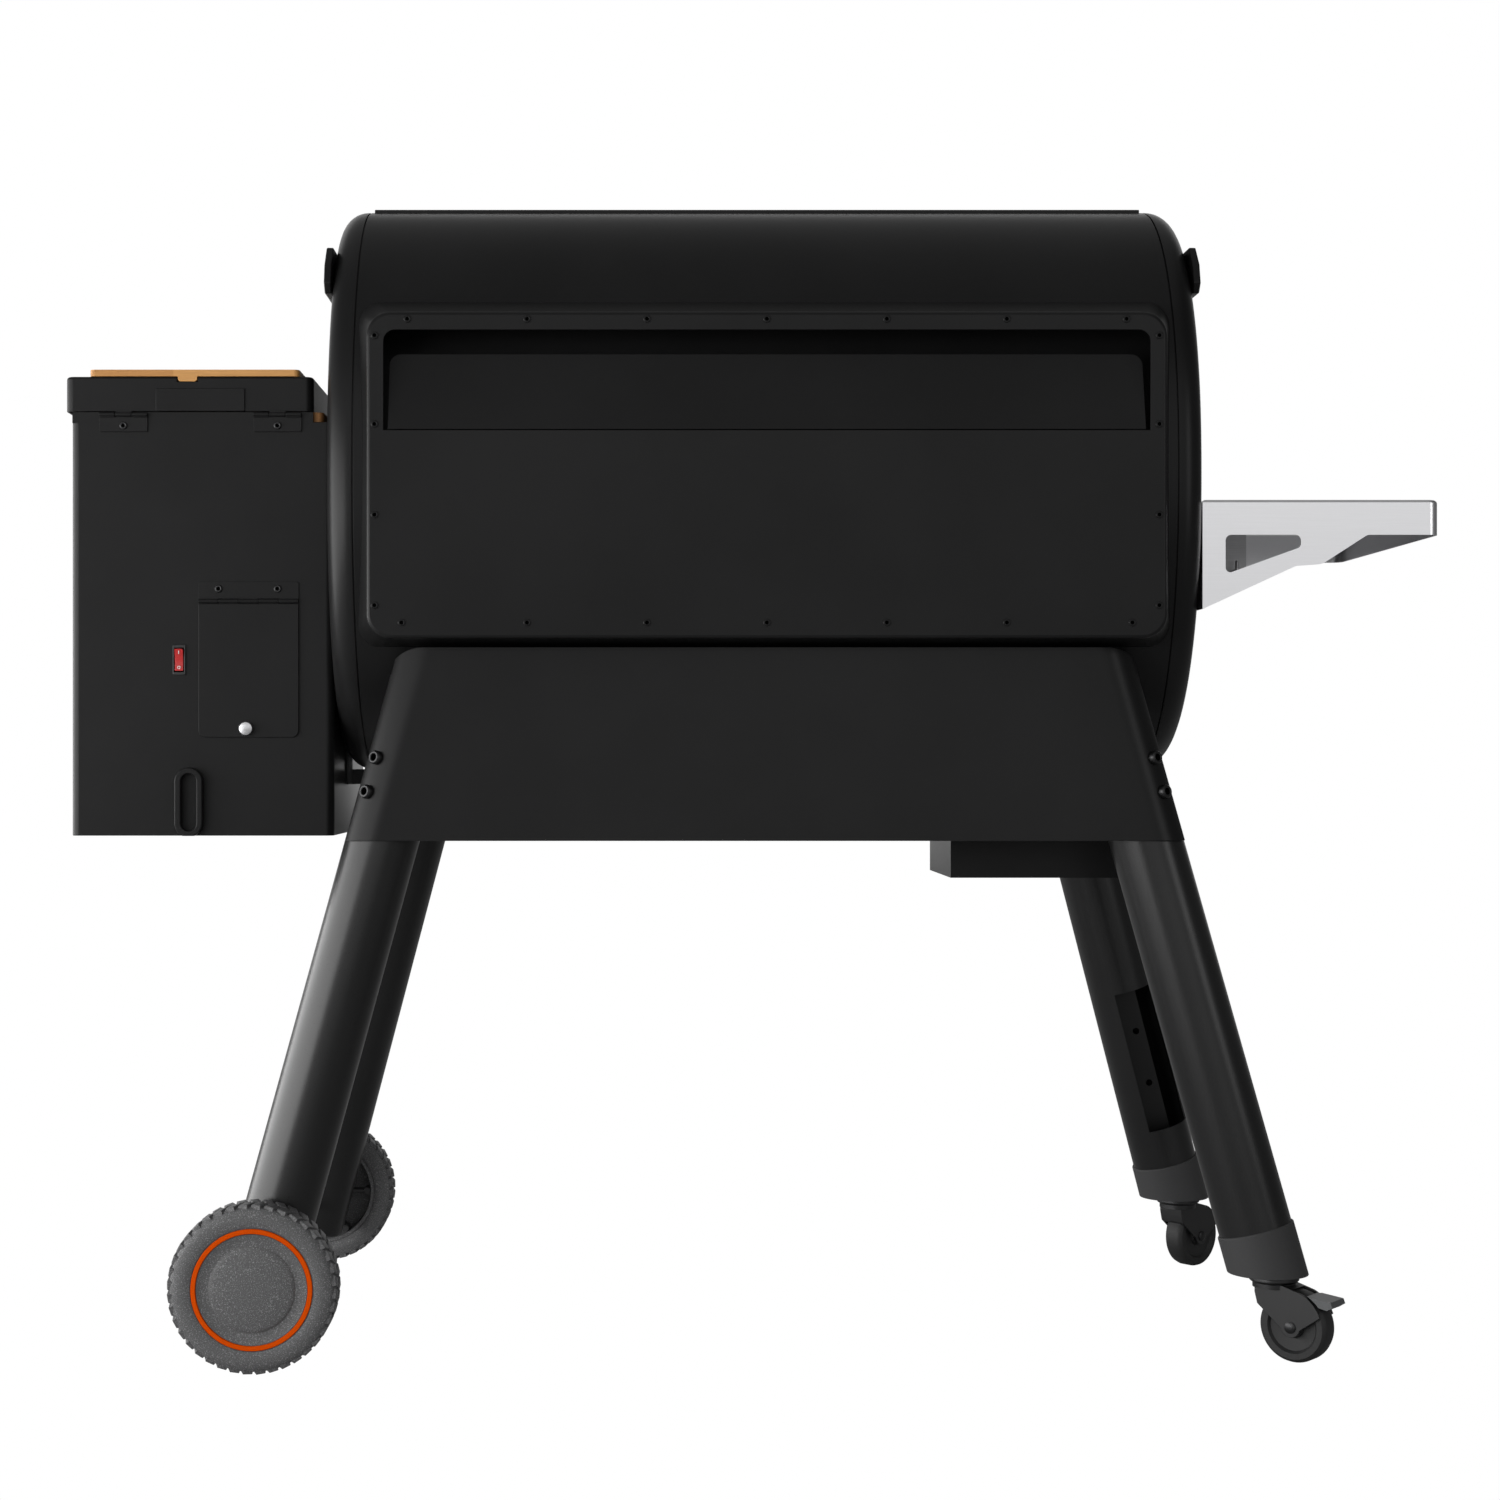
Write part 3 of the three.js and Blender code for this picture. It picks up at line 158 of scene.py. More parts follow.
def speckled(name, tone, fleck, roughness, amount=0.62):
    """Moulded rubber or plastic with small pale flecks."""
    made, tree, bsdf = shader(name, grey(tone), roughness)
    flecks = noise(tree, 900, 3, rough=0.7)
    color = ramp(tree, flecks, [(0.35, grey(tone * 0.75)), (amount, grey(tone)), (amount + 0.1, grey(fleck))])
    tree.links.new(color, bsdf.inputs["Base Color"])
    bump(tree, bsdf, flecks, 0.35, 0.0003)
    return made


def brushed(name, tone, roughness, along, streak=1.0):
    """Brushed sheet metal, with its grain drawn out along one axis."""
    made, tree, bsdf = shader(name, grey(tone), roughness, 1.0)
    stretch = [260.0, 260.0, 260.0]
    stretch[along] = 4.0
    grain = noise(tree, 6, 3, stretch)
    color = ramp(tree, grain, [(0.3, grey(tone * (1 - 0.1 * streak))),
                               (0.7, grey(tone * (1 + 0.06 * streak)))])
    tree.links.new(color, bsdf.inputs["Base Color"])
    spread_low, spread_high = roughness - 0.08 * streak, roughness + 0.1 * streak
    tree.links.new(spread(tree, grain, spread_low, spread_high), bsdf.inputs["Roughness"])
    bump(tree, bsdf, grain, 0.12 * streak, 0.0001)
    return made


def heat_stained(name, tone, roughness):
    """Bare inner steel that smoke and heat have browned."""
    made, tree, bsdf = shader(name, (tone, tone, tone), roughness, 0.85)
    stain = noise(tree, 9, 5, rough=0.65)
    burnt = (tone * 0.55, tone * 0.42, tone * 0.3)
    straw = (tone, tone * 0.9, tone * 0.78)
    color = ramp(tree, stain, [(0.3, burnt), (0.55, straw), (0.75, (tone * 1.1,) * 3)])
    tree.links.new(color, bsdf.inputs["Base Color"])
    tree.links.new(spread(tree, stain, roughness - 0.12, roughness + 0.15), bsdf.inputs["Roughness"])
    bump(tree, bsdf, noise(tree, 300, 2), 0.1, 0.0003)
    return made


def bamboo_wood():
    """Edge-glued bamboo strips: each strip has its own tone, with fine fibres."""
    made, tree, bsdf = shader("bamboo", (0.6, 0.3, 0.09), 0.5)
    coords = tree.nodes.new("ShaderNodeTexCoord")
    mapping = tree.nodes.new("ShaderNodeMapping")
    mapping.inputs["Scale"].default_value = (7.5, 60, 7.5)
    tree.links.new(coords.outputs["Object"], mapping.inputs["Vector"])
    strips = tree.nodes.new("ShaderNodeTexVoronoi")
    strips.feature = "F1"
    strips.distance = "CHEBYCHEV"
    strips.inputs["Scale"].default_value = 1
    strips.inputs["Randomness"].default_value = 0.25
    tree.links.new(mapping.outputs["Vector"], strips.inputs["Vector"])
    tone = ramp(tree, strips.outputs["Color"], [(0.2, (0.46, 0.20, 0.045)), (0.5, (0.60, 0.285, 0.075)),
                                               (0.8, (0.74, 0.39, 0.12))])
    fibres = noise(tree, 5, 5, (8, 420, 420), 0.6)
    fibre_tone = ramp(tree, fibres, [(0.3, (0.72, 0.66, 0.6)), (0.65, (1, 1, 1))])
    mix = tree.nodes.new("ShaderNodeMix")
    mix.data_type = "RGBA"
    mix.blend_type = "MULTIPLY"
    mix.inputs["Factor"].default_value = 0.8
    tree.links.new(tone, mix.inputs["A"])
    tree.links.new(fibre_tone, mix.inputs["B"])
    tree.links.new(mix.outputs["Result"], bsdf.inputs["Base Color"])
    bump(tree, bsdf, fibres, 0.2, 0.0003)
    return made


def moulded(name, color, roughness, grain=0.15):
    """Plain moulded plastic with a spark-eroded grain."""
    made, tree, bsdf = shader(name, color, roughness)
    texture = noise(tree, 1200, 2)
    shade = [tuple(c * k for c in color) for k in (0.85, 1.12)]
    tree.links.new(ramp(tree, texture, [(0.3, shade[0]), (0.7, shade[1])]), bsdf.inputs["Base Color"])
    bump(tree, bsdf, texture, grain, 0.0002)
    return made


BLACK = powder_coat("powder_coat", 0.0096, 0.33, 0.16, specular=0.17)
DARK_PAINT = powder_coat("shaded_coat", 0.008, 0.42, 0.1, specular=0.3)
# Near-black and matt: painted shade for the floors of screw sockets, darker than the real paint.
SOCKET_SHADE = powder_coat("painted_socket_shade", 0.0006, 0.9, 0.1, specular=0.02)
TUBE = powder_coat("tube_coat", 0.0095, 0.3, 0.12, specular=0.4)
INSIDE = heat_stained("inner_steel", 0.42, 0.5)
STEEL = brushed("plain_steel", 0.55, 0.36, 0)
DARK_STEEL = brushed("dark_steel", 0.05, 0.4, 0)
BRIGHT_STEEL = brushed("bright_steel", 0.62, 0.3, 0)
STAINLESS = brushed("stainless", 0.84, 0.3, 0, 0.25)
RUBBER = speckled("speckled_rubber", 0.095, 0.3, 0.6, 0.56)
TREAD = speckled("caster_tread", 0.012, 0.028, 0.6, 0.7)
GREY = moulded("grey_moulding", (0.036, 0.036, 0.037), 0.7)
PLASTIC = moulded("black_moulding", (0.010, 0.010, 0.0105), 0.45)
PALE = moulded("pale_moulding", (0.09, 0.093, 0.096), 0.5)
ORANGE = moulded("orange_ring", (0.66, 0.072, 0.001), 0.9, 0.05)
ORANGE.node_tree.nodes["Principled BSDF"].inputs["Specular IOR Level"].default_value = 0.05
RED = moulded("red_rocker", (0.50, 0.022, 0.022), 0.25, 0.05)
WHITE = moulded("white_mark", (0.8, 0.8, 0.8), 0.5, 0.05)
BAMBOO = bamboo_wood()
SEAL = moulded("brown_seal", (0.22, 0.10, 0.03), 0.8)
GRATE = powder_coat("enamelled_wire", 0.03, 0.35, 0.1)
SCREEN = moulded("screen_glass", (0.006, 0.007, 0.008), 0.06, 0.0)

# ---------------------------------------------------------------- mesh tools

scene = bpy.context.scene


def draft(build):
    """A new linked object from a function that fills a bmesh."""
    bm = bmesh.new()
    build(bm)
    bmesh.ops.recalc_face_normals(bm, faces=bm.faces)
    mesh = bpy.data.meshes.new("draft")
    bm.to_mesh(mesh)
    bm.free()
    made = bpy.data.objects.new("draft", mesh)
    scene.collection.objects.link(made)
    return made


def loft(rings):
    """A skin through rings of equal length, each a list of points, closed at both ends."""
    def build(bm):
        verts = [[bm.verts.new(point) for point in ring] for ring in rings]
        count = len(rings[0])
        for near, far in zip(verts, verts[1:]):
            for i in range(count):
                k = (i + 1) % count
                bm.faces.new((near[i], near[k], far[k], far[i]))
        bm.faces.new(verts[0][::-1])
        bm.faces.new(verts[-1])
    return draft(build)


def prism(outline, axis, low, high):
    """A closed bar: a list of two-dimensional points pushed along axis 0, 1 or 2."""
    def place(point, depth):
        flat = list(point)
        flat.insert(axis, depth)
        return Vector(flat)
    return loft([[place(point, depth) for point in outline] for depth in (low, high)])


def block(x0, x1, y0, y1, z0, z1):
    """A box between two values along each axis."""
    return prism([(x0, y0), (x1, y0), (x1, y1), (x0, y1)], 2, z0, z1)


def frame_axes(direction):
    """Two unit vectors square to a direction."""
    direction = Vector(direction).normalized()
    side = direction.cross(Z if abs(direction.z) < 0.9 else X).normalized()
    return side, direction.cross(side).normalized(), direction


def turned(profile, centre, direction, steps=48):
    """A lathe shape: (radius, height) pairs turned about a line. It closes on the axis or on itself."""
    u, v, w = frame_axes(direction)
    centre = Vector(centre)

    def build(bm):
        rings = []
        for radius, height in profile:
            if radius < 1e-7:
                rings.append([bm.verts.new(centre + w * height)])
                continue
            rings.append([
                bm.verts.new(centre + w * height + (u * math.cos(a) + v * math.sin(a)) * radius)
                for a in (2 * math.pi * i / steps for i in range(steps))
            ])
        pairs = list(zip(rings, rings[1:]))
        if len(rings[0]) > 1 and len(rings[-1]) > 1:
            pairs.append((rings[-1], rings[0]))
        for near, far in pairs:
            for i in range(steps):
                k = (i + 1) % steps
                corners = [near[i % len(near)], near[k % len(near)], far[k % len(far)], far[i % len(far)]]
                bm.faces.new(list(dict.fromkeys(corners)))
    return draft(build)


def bar(radius, start, end, steps=40, edge=0.0):
    """A round bar between two points, with softened ends."""
    start, end = Vector(start), Vector(end)
    length = (end - start).length
    profile = [(0, 0), (radius, 0), (radius, length), (0, length)]
    if edge:
        profile = [(0, 0), (radius - edge, 0), (radius - edge * 0.3, edge * 0.3), (radius, edge),
                   (radius, length - edge), (radius - edge * 0.3, length - edge * 0.3),
                   (radius - edge, length),
                   (0, length)]
    return turned(profile, start, end - start, steps)


def arc(x, y, radius, start, sweep, steps):
    """Points along an arc about (x, y); start and sweep are in degrees."""
    points = []
    for i in range(steps + 1):
        angle = math.radians(start + sweep * i / steps)
        points.append((x + radius * math.cos(angle), y + radius * math.sin(angle)))
    return points


def rounded(left, right, low, high, radius, steps=8):
    """The outline of a rectangle with round corners."""
    points = []
    corners = [(right - radius, low + radius, -90), (right - radius, high - radius, 0),
               (left + radius, high - radius, 90), (left + radius, low + radius, 180)]
    for x, y, start in corners:
        points += arc(x, y, radius, start, 90, steps)
    return points


def combine(target, tool, operation):
    modifier = target.modifiers.new("boolean", "BOOLEAN")
    modifier.object = tool
    modifier.operation = operation
    modifier.solver = "EXACT"
    apply_modifiers(target)
    bpy.data.objects.remove(tool)
    return target


def cut(target, *tools):
    for tool in tools:
        combine(target, tool, "DIFFERENCE")
    return target


def keep(target, tool):
    return combine(target, tool, "INTERSECT")


def join(target, *others):
    """Puts other meshes into one object, as they are."""
    bm = bmesh.new()
    for source in (target, *others):
        bm.from_mesh(source.data)
    bm.to_mesh(target.data)
    bm.free()
    for source in others:
        bpy.data.objects.remove(source)
    return target


def apply_modifiers(target):
    depsgraph = bpy.context.evaluated_depsgraph_get()
    mesh = bpy.data.meshes.new_from_object(target.evaluated_get(depsgraph))
    target.modifiers.clear()
    target.data = mesh


def tidy(target, weld=1e-6):
    """Welds doubles and melts the flat triangles that booleans leave."""
    bm = bmesh.new()
    bm.from_mesh(target.data)
    bmesh.ops.remove_doubles(bm, verts=bm.verts, dist=weld)
    bmesh.ops.dissolve_limit(bm, angle_limit=math.radians(0.4), verts=bm.verts, edges=bm.edges)
    bm.to_mesh(target.data)
    bm.free()


def shade(target, degrees=35):
    """Smooth shading that breaks at edges sharper than the angle."""
    bm = bmesh.new()
    bm.from_mesh(target.data)
    for face in bm.faces:
        face.smooth = True
    for edge in bm.edges:
        edge.smooth = len(edge.link_faces) == 2 and edge.calc_face_angle(0) < math.radians(degrees)
    bm.to_mesh(target.data)
    bm.free()


def piece(name, target, look, body, edge=0.0, angle=35, replaces=(), steps=3):
    """Finishes a draft: soft edges, material, shading, and the body it rides on."""
    if edge:
        tidy(target)
        modifier = target.modifiers.new("edges", "BEVEL")
        modifier.width = edge
        modifier.segments = steps
        modifier.limit_method = "ANGLE"
        modifier.angle_limit = math.radians(angle)
        modifier.use_clamp_overlap = True
        apply_modifiers(target)
    target.name = name
    target.data.name = name
    target.data.materials.clear()
    target.data.materials.append(look)
    shade(target, angle)
    if edge:
        modifier = target.modifiers.new("normals", "WEIGHTED_NORMAL")
        modifier.keep_sharp = True
        apply_modifiers(target)
    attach(target, body)
    if replaces:
        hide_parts(*replaces)
    return target


def from_cad(node, look, body, edge=0.0, name=None, angle=35):
    """A copy of a CAD node's mesh with soft edges, shown in its place."""
    copy = bpy.data.objects.new("draft", frame["nodes"][node].data.copy())
    scene.collection.objects.link(copy)
    tidy(copy, 2e-6)
    return piece(name or f"{node}_shown", copy, look, body, edge, angle, (node,))


def button_head(centre, direction, radius, height):
    """A rounded screw head with a deep round socket and the start of its shank."""
    socket, sink = radius * 0.5, -radius * 0.9
    return turned([
        (0, sink), (socket, sink), (socket, height * 0.9), (socket * 1.2, height), (radius * 0.78, height),
        (radius * 0.93, height * 0.84), (radius, height * 0.6), (radius, 0), (radius * 0.6, 0),
        (radius * 0.6, sink - 0.5 * MM), (0, sink - 0.5 * MM),
    ], centre, direction, 20)


def heads(name, places, radius, height, look, body):
    """A set of screw heads as one piece, with a near-black disc of painted shade at the floor of each socket;
    places are (centre, direction) pairs.
    """
    made = [button_head(centre, direction, radius, height) for centre, direction in places]
    # A near-black disc at the floor of each socket: painted shade in the recess.
    shade_discs = [turned([(0, 0), (radius * 0.49, 0), (radius * 0.49, 0.4 * MM), (0, 0.4 * MM)], centre,
                     direction, 16)
              for centre, direction in places]
    piece(f"{name}_painted_socket_shade", join(*shade_discs), SOCKET_SHADE, body)
    return piece(name, join(*made), look, body)


# ---------------------------------------------------------------- barrel and lid

LID_PIVOT = PIVOT["lid_hinge"]
SPLIT_RADIUS = 112 * MM
SPLIT_HEIGHT = 905 * MM
SPLIT_FRONT = Vector((lid_low.y, SPLIT_HEIGHT))
EDGE_ROUND = 27 * MM
SEAM = 0.8 * MM


def barrel_ring(inset):
    """The barrel's outline in Y and Z: a superellipse, taller than it is deep."""
    points = []
    for i in range(SMOOTH_STEPS):
        angle = 2 * math.pi * i / SMOOTH_STEPS
        across = math.copysign(abs(math.cos(angle)) ** (2 / POWER), math.cos(angle))
        up = math.copysign(abs(math.sin(angle)) ** (2 / POWER), math.sin(angle))
        points.append((BARREL_Y + (HALF_DEPTH - inset) * across, BARREL_Z + (HALF_HEIGHT - inset) * up))
    return points


def barrel_slug(inset, low, high):
    """A solid of the barrel's outline between two places along X."""
    return prism(barrel_ring(inset), 0, low, high)


def lid_region(clearance):
    """What opens: outside the circle about the hinge and above the slanted split."""
    radius = SPLIT_RADIUS + clearance
    corner = Vector((LID_PIVOT.y - SPLIT_RADIUS, LID_PIVOT.z))
    run = (SPLIT_FRONT - corner).normalized()
    rise = Vector((run.y, -run.x)) * clearance
    far = 0.4
    points = [tuple(SPLIT_FRONT + run * far + rise), (LID_PIVOT.y - radius, LID_PIVOT.z + clearance)]
    for degrees in range(177, 104, -3):
        angle = math.radians(degrees)
        points.append((LID_PIVOT.y + radius * math.cos(angle), LID_PIVOT.z + radius * math.sin(angle)))
    points += [(LID_PIVOT.y, LID_PIVOT.z + far), (SPLIT_FRONT.x - far, LID_PIVOT.z + far)]
    return prism(points, 0, MID - 0.6, MID + 0.6)


def barrel_tube():
    """The rolled skin between the two ends, before the lid is parted from it."""
    half = BODY_HALF - SEAM
    tube = barrel_slug(0, MID - half, MID + half)
    return cut(tube, barrel_slug(SHEET, MID - half - 0.01, MID + half + 0.01))


def barrel_end(side):
    """A pressed end: a flat face with a rounded rim, hollow inside; the spigot that backs the seam is a piece
    of its own.
    """
    def rings(grow, depth):
        rim = EDGE_ROUND + grow
        stack = [(BODY_HALF + SEAM, -grow)]
        for step in range(11):
            angle = math.radians(9 * step)
            stack.append((depth - rim * (1 - math.sin(angle)), rim * (1 - math.cos(angle)) - grow))
        return [[Vector((MID + side * x, y, z)) for y, z in barrel_ring(inset)] for x, inset in stack]
    end = loft(rings(0, CAP_HALF))
    cut(end, loft(rings(-SHEET, CAP_HALF - SHEET)))
    mouth = sorted((MID + side * (BODY_HALF - 0.01), MID + side * (BODY_HALF + 2 * MM)))
    return cut(end, barrel_slug(SHEET, *mouth))


def barrel_spigot(side):
    """A turned-in flange behind the seam between an end and the skin."""
    reach = sorted((MID + side * (BODY_HALF - 5 * MM), MID + side * (BODY_HALF + 6 * MM)))
    spigot = barrel_slug(SHEET + 0.1 * MM, *reach)
    return cut(spigot, barrel_slug(SHEET + 1.5 * MM, reach[0] - 0.01, reach[1] + 0.01))


def feed_ports(start, end):
    """Cutting bars for the auger's port and the fan's port, from one place along X to another."""
    ports = []
    for joint, radius in (("auger_spin", 34 * MM), ("fan_spin", 26 * MM)):
        centre = PIVOT[joint]
        ports.append(bar(radius, (start, centre.y, centre.z), (end, centre.y, centre.z)))
    return ports


def build_barrel():
    """The fixed shell and the lid, each a skin with two ends, and the hinge arms between them."""
    shell = cut(barrel_tube(), lid_region(-0.5 * MM))
    piece("barrel_shell_skin", shell, BLACK, "frame", 0.5 * MM,
          replaces=["barrel_shell"], steps=2)
    skin = keep(barrel_tube(), lid_region(0.5 * MM))
    piece("lid_skin_panel", skin, BLACK, "lid", 0.5 * MM, replaces=["lid_skin"], steps=2)
    strip_top = lid_high.z - 3 * MM
    strip = block(MID - 429.5 * MM, MID + 429.5 * MM, 32 * MM, 37.5 * MM, strip_top - 12 * MM, strip_top)
    cut(strip, barrel_slug(SHEET / 2, *LONG))
    piece("lid_rear_strip", strip, BLACK, "lid", 0.8 * MM)
    for side, place in SIDES:
        fixed = cut(barrel_end(side), lid_region(-0.5 * MM))
        if side > 0:
            cut(fixed, *feed_ports(MID + 0.43, MID + 0.48))
        piece(f"barrel_end_{place}", fixed, BLACK, "frame", 0.5 * MM,
              replaces=[f"body_end_{place}"], steps=2)
        moving = keep(barrel_end(side), lid_region(0.5 * MM))
        spigot = cut(barrel_spigot(side), lid_region(-0.8 * MM))
        piece(f"barrel_seam_flange_{place}", spigot, BLACK, "frame")
        spigot = keep(barrel_spigot(side), lid_region(0.8 * MM))
        piece(f"lid_seam_flange_{place}", spigot, BLACK, "lid")
        piece(f"lid_end_panel_{place}", moving, BLACK, "lid", 0.5 * MM,
              replaces=[f"lid_end_{place}"], steps=2)
        from_cad(f"lid_hinge_arm_{place}", BLACK, "lid", 1.6 * MM)
        low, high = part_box(f"lid_hinge_arm_{place}")
        outer = (high.x if side > 0 else low.x) - side * 2.2 * MM
        pin = turned([(0, -20 * MM), (4.8 * MM, -20 * MM), (4.8 * MM, 0), (9 * MM, 0), (9 * MM, 1 * MM),
                      (7.5 * MM, 2.1 * MM), (0, 2.1 * MM)], (outer, LID_PIVOT.y, LID_PIVOT.z), X * side, 32)
        piece(f"lid_hinge_pin_{place}", pin, DARK_STEEL, "frame")
        bolts = [(Vector((outer, y, LID_PIVOT.z + 4 * MM)), X * side) for y in (5 * MM, 40 * MM)]
        heads(f"lid_arm_bolts_{place}", bolts, 6 * MM, 2.1 * MM, DARK_STEEL, "lid")
    from_cad("chamber_liner", INSIDE, "frame", name="chamber_inner_wall", angle=25)
    from_cad("lid_liner", INSIDE, "lid", name="lid_inner_wall", angle=25)


def build_handle():
    """A stainless bar on two posts, with turned end caps."""
    low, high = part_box("lid_handle")
    radius = 11 * MM
    y, z = low.y + radius, (low.z + high.z) / 2
    grip = bar(radius, (low.x + 14 * MM, y, z), (high.x - 14 * MM, y, z), 48, 1 * MM)
    piece("lid_handle_bar", grip, STAINLESS, "lid", replaces=["lid_handle"])
    for side, place in SIDES:
        end = low.x if side < 0 else high.x
        cap = turned([(0, 0), (radius - 3 * MM, 0), (radius - 0.8 * MM, 1 * MM), (radius, 3.5 * MM),
                      (radius, 13 * MM),
                      (radius - 1 * MM, 13.6 * MM), (0, 13.6 * MM)], (end, y, z), X * -side, 48)
        piece(f"lid_handle_cap_{place}", cap, BLACK, "lid")
        x = MID + side * 300 * MM
        wall = BARREL_Y - HALF_DEPTH
        post = turned([(0, 0), (15 * MM, 0), (15 * MM, 2 * MM), (13 * MM, 3.5 * MM), (8 * MM, 5 * MM),
                       (8 * MM, 28 * MM),
                       (0, 28 * MM)], (x, wall + 1.6 * MM, z), -Y, 36)
        piece(f"lid_handle_post_{place}", post, STAINLESS, "lid")


# ---------------------------------------------------------------- rear exhaust

VENT_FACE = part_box("exhaust_cover")[1].y
MOUTH_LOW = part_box("exhaust_baffle")[0].z - 0.6 * MM
SCREW_ROWS = (1082 * MM, 767 * MM)
SCREW_COLUMN = 407 * MM


def exhaust_block(inset):
    """The cover's outside, tapering to its face through a soft fillet."""
    root = 150 * MM
    face = (415 * MM, 751 * MM, 1089 * MM)
    slope = (15 * MM / 58, -5 * MM / 58, 19 * MM / 58)
    fillet = 3.5 * MM

    def ring(y, extra):
        back = (VENT_FACE - y) / MM
        half, low, high = (value + rate * back for value, rate in zip(face, slope))
        shrink = inset + extra
        outline = rounded(MID - half + shrink, MID + half - shrink, low + shrink, high - shrink,
                          25 * MM - shrink, 10)
        return [Vector((x, y - (inset if y == VENT_FACE else 0), z)) for x, z in outline]
    rings = [ring(root, 0), ring(VENT_FACE - fillet, 0)]
    for step in range(1, 6):
        angle = math.radians(18 * step)
        rings.append(ring(VENT_FACE - fillet * (1 - math.sin(angle)), fillet * (1 - math.cos(angle))))
    return loft(rings)


def build_exhaust():
    cover = exhaust_block(0)
    cut(cover, exhaust_block(SHEET), barrel_slug(-0.3 * MM, *LONG))
    half, high, radius = 398 * MM, 1071 * MM, 12 * MM
    outline = [(MID - half, MOUTH_LOW), (MID + half, MOUTH_LOW)]
    for centre, start in ((half - radius, 0), (radius - half, 90)):
        outline += arc(MID + centre, high - radius, radius, start, 90, 8)
    cut(cover, prism(outline, 1, VENT_FACE - 0.02, VENT_FACE + 0.02))
    piece("exhaust_cover_pressing", cover, BLACK, "frame", 0.5 * MM,
          replaces=["exhaust_cover"], steps=2)
    from_cad("exhaust_baffle", BLACK, "frame", 0.5 * MM, "exhaust_baffle_plate")
    places = []
    for row, z in enumerate(SCREW_ROWS):
        ends = 373 * MM if row == 0 else 379 * MM
        for x in (0, 124.4 * MM, 248.8 * MM, ends):
            for side in ((1, -1) if x else (1,)):
                places.append((Vector((MID + side * x, VENT_FACE - 0.1 * MM, z)), Y))
    for z in (1065, 973, 879, 785):
        for side in (1, -1):
            places.append((Vector((MID + side * SCREW_COLUMN, VENT_FACE - 0.1 * MM, z * MM)), Y))
    heads("exhaust_screws", places, 4 * MM, 1.5 * MM, BLACK, "frame")


# ---------------------------------------------------------------- legs and aprons

LEG_RADIUS = 38.2 * MM
LEG_SPLAY = math.tan(math.radians(15))
LEG_LEAN = math.tan(math.radians(4.17))
APRON_LOW = 540 * MM


def leg_point(z, side, face):
    """A point on a leg's middle line at height z; side is along X and face along Y."""
    across = 403 * MM + (545 * MM - z) * LEG_SPLAY
    back = 194.3 * MM + (630 * MM - z) * LEG_LEAN
    return Vector((MID + side * across, face * back, z))


def build_apron(face, place):
    """One sheet across the legs, wrapped round the outside of both tubes, with round shoulders."""
    inner = LEG_RADIUS + 1 * MM
    outer = inner + SHEET
    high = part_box(f"{place}_apron")[1].z
    top_half, shoulder = 360 * MM, 45 * MM
    wrap = math.radians(60)

    def column(share, radius):
        """One ruling line of the sheet: share runs from -1 to 1 across it, past that round a leg."""
        side = 1 if share >= 0 else -1
        angle = max(0.0, abs(share) - 1) * wrap
        reach = min(1.0, abs(share))

        def at(z):
            axis = leg_point(z, side, 1)
            x = side * (reach * abs(axis.x - MID) + radius / math.cos(math.atan(LEG_SPLAY)) * math.sin(angle))
            return Vector((MID + x, face * (axis.y + radius * math.cos(angle)), z))
        top = high
        for _ in range(8):
            over = min(max(0.0, abs(at(top).x - MID) - top_half), shoulder)
            top = high - (shoulder - math.sqrt(shoulder ** 2 - over ** 2))
        return [at(APRON_LOW + (top - APRON_LOW) * k / 6) for k in range(7)]
    shares = [-2 + k / 12 for k in range(12)]
    shares += [-1 + k / 24 for k in range(49)]
    shares += [1 + k / 12 for k in range(1, 13)]
    near = [column(share, outer) for share in shares]
    far = [column(share, inner) for share in shares]
    rings = [front + back[::-1] for front, back in zip(near, far)]
    sheet = loft(rings)
    if face < 0:
        cut(sheet, barrel_slug(-0.5 * MM, *SNUG))
    piece(f"{place}_apron_sheet", sheet, BLACK, "frame", 0.6 * MM,
          replaces=[f"{place}_apron"], steps=2)
    if face > 0:
        y = leg_point(high, 1, 1).y + inner
        flange = block(MID - 0.355, MID + 0.355, y - 45 * MM, y + 1 * MM, high - 4 * MM, high - 1.6 * MM)
        cut(flange, barrel_slug(-0.3 * MM, *LONG))
        piece("rear_apron_flange", flange, BLACK, "frame")
    bolts = []
    for side in (1, -1):
        for z in (620.3 * MM, 584.6 * MM):
            angle = math.radians(37)
            direction = Vector((side * math.sin(angle), face * math.cos(angle),
                                0.26 * math.sin(angle))).normalized()
            bolts.append((leg_point(z, side, face) + direction * (outer - 0.3 * MM), direction))
    heads(f"{place}_apron_bolts", bolts, 7.5 * MM, 6.4 * MM, DARK_STEEL, "frame")


def leg_tube(side, face, low):
    start, end = leg_point(low, side, face), leg_point(0.705, side, face)
    length = (end - start).length
    wall = LEG_RADIUS - SHEET
    tube = turned([(wall, 0), (LEG_RADIUS, 0), (LEG_RADIUS, length), (wall, length)], start, end - start, 72)
    return cut(tube, barrel_slug(-0.6 * MM, *SNUG))


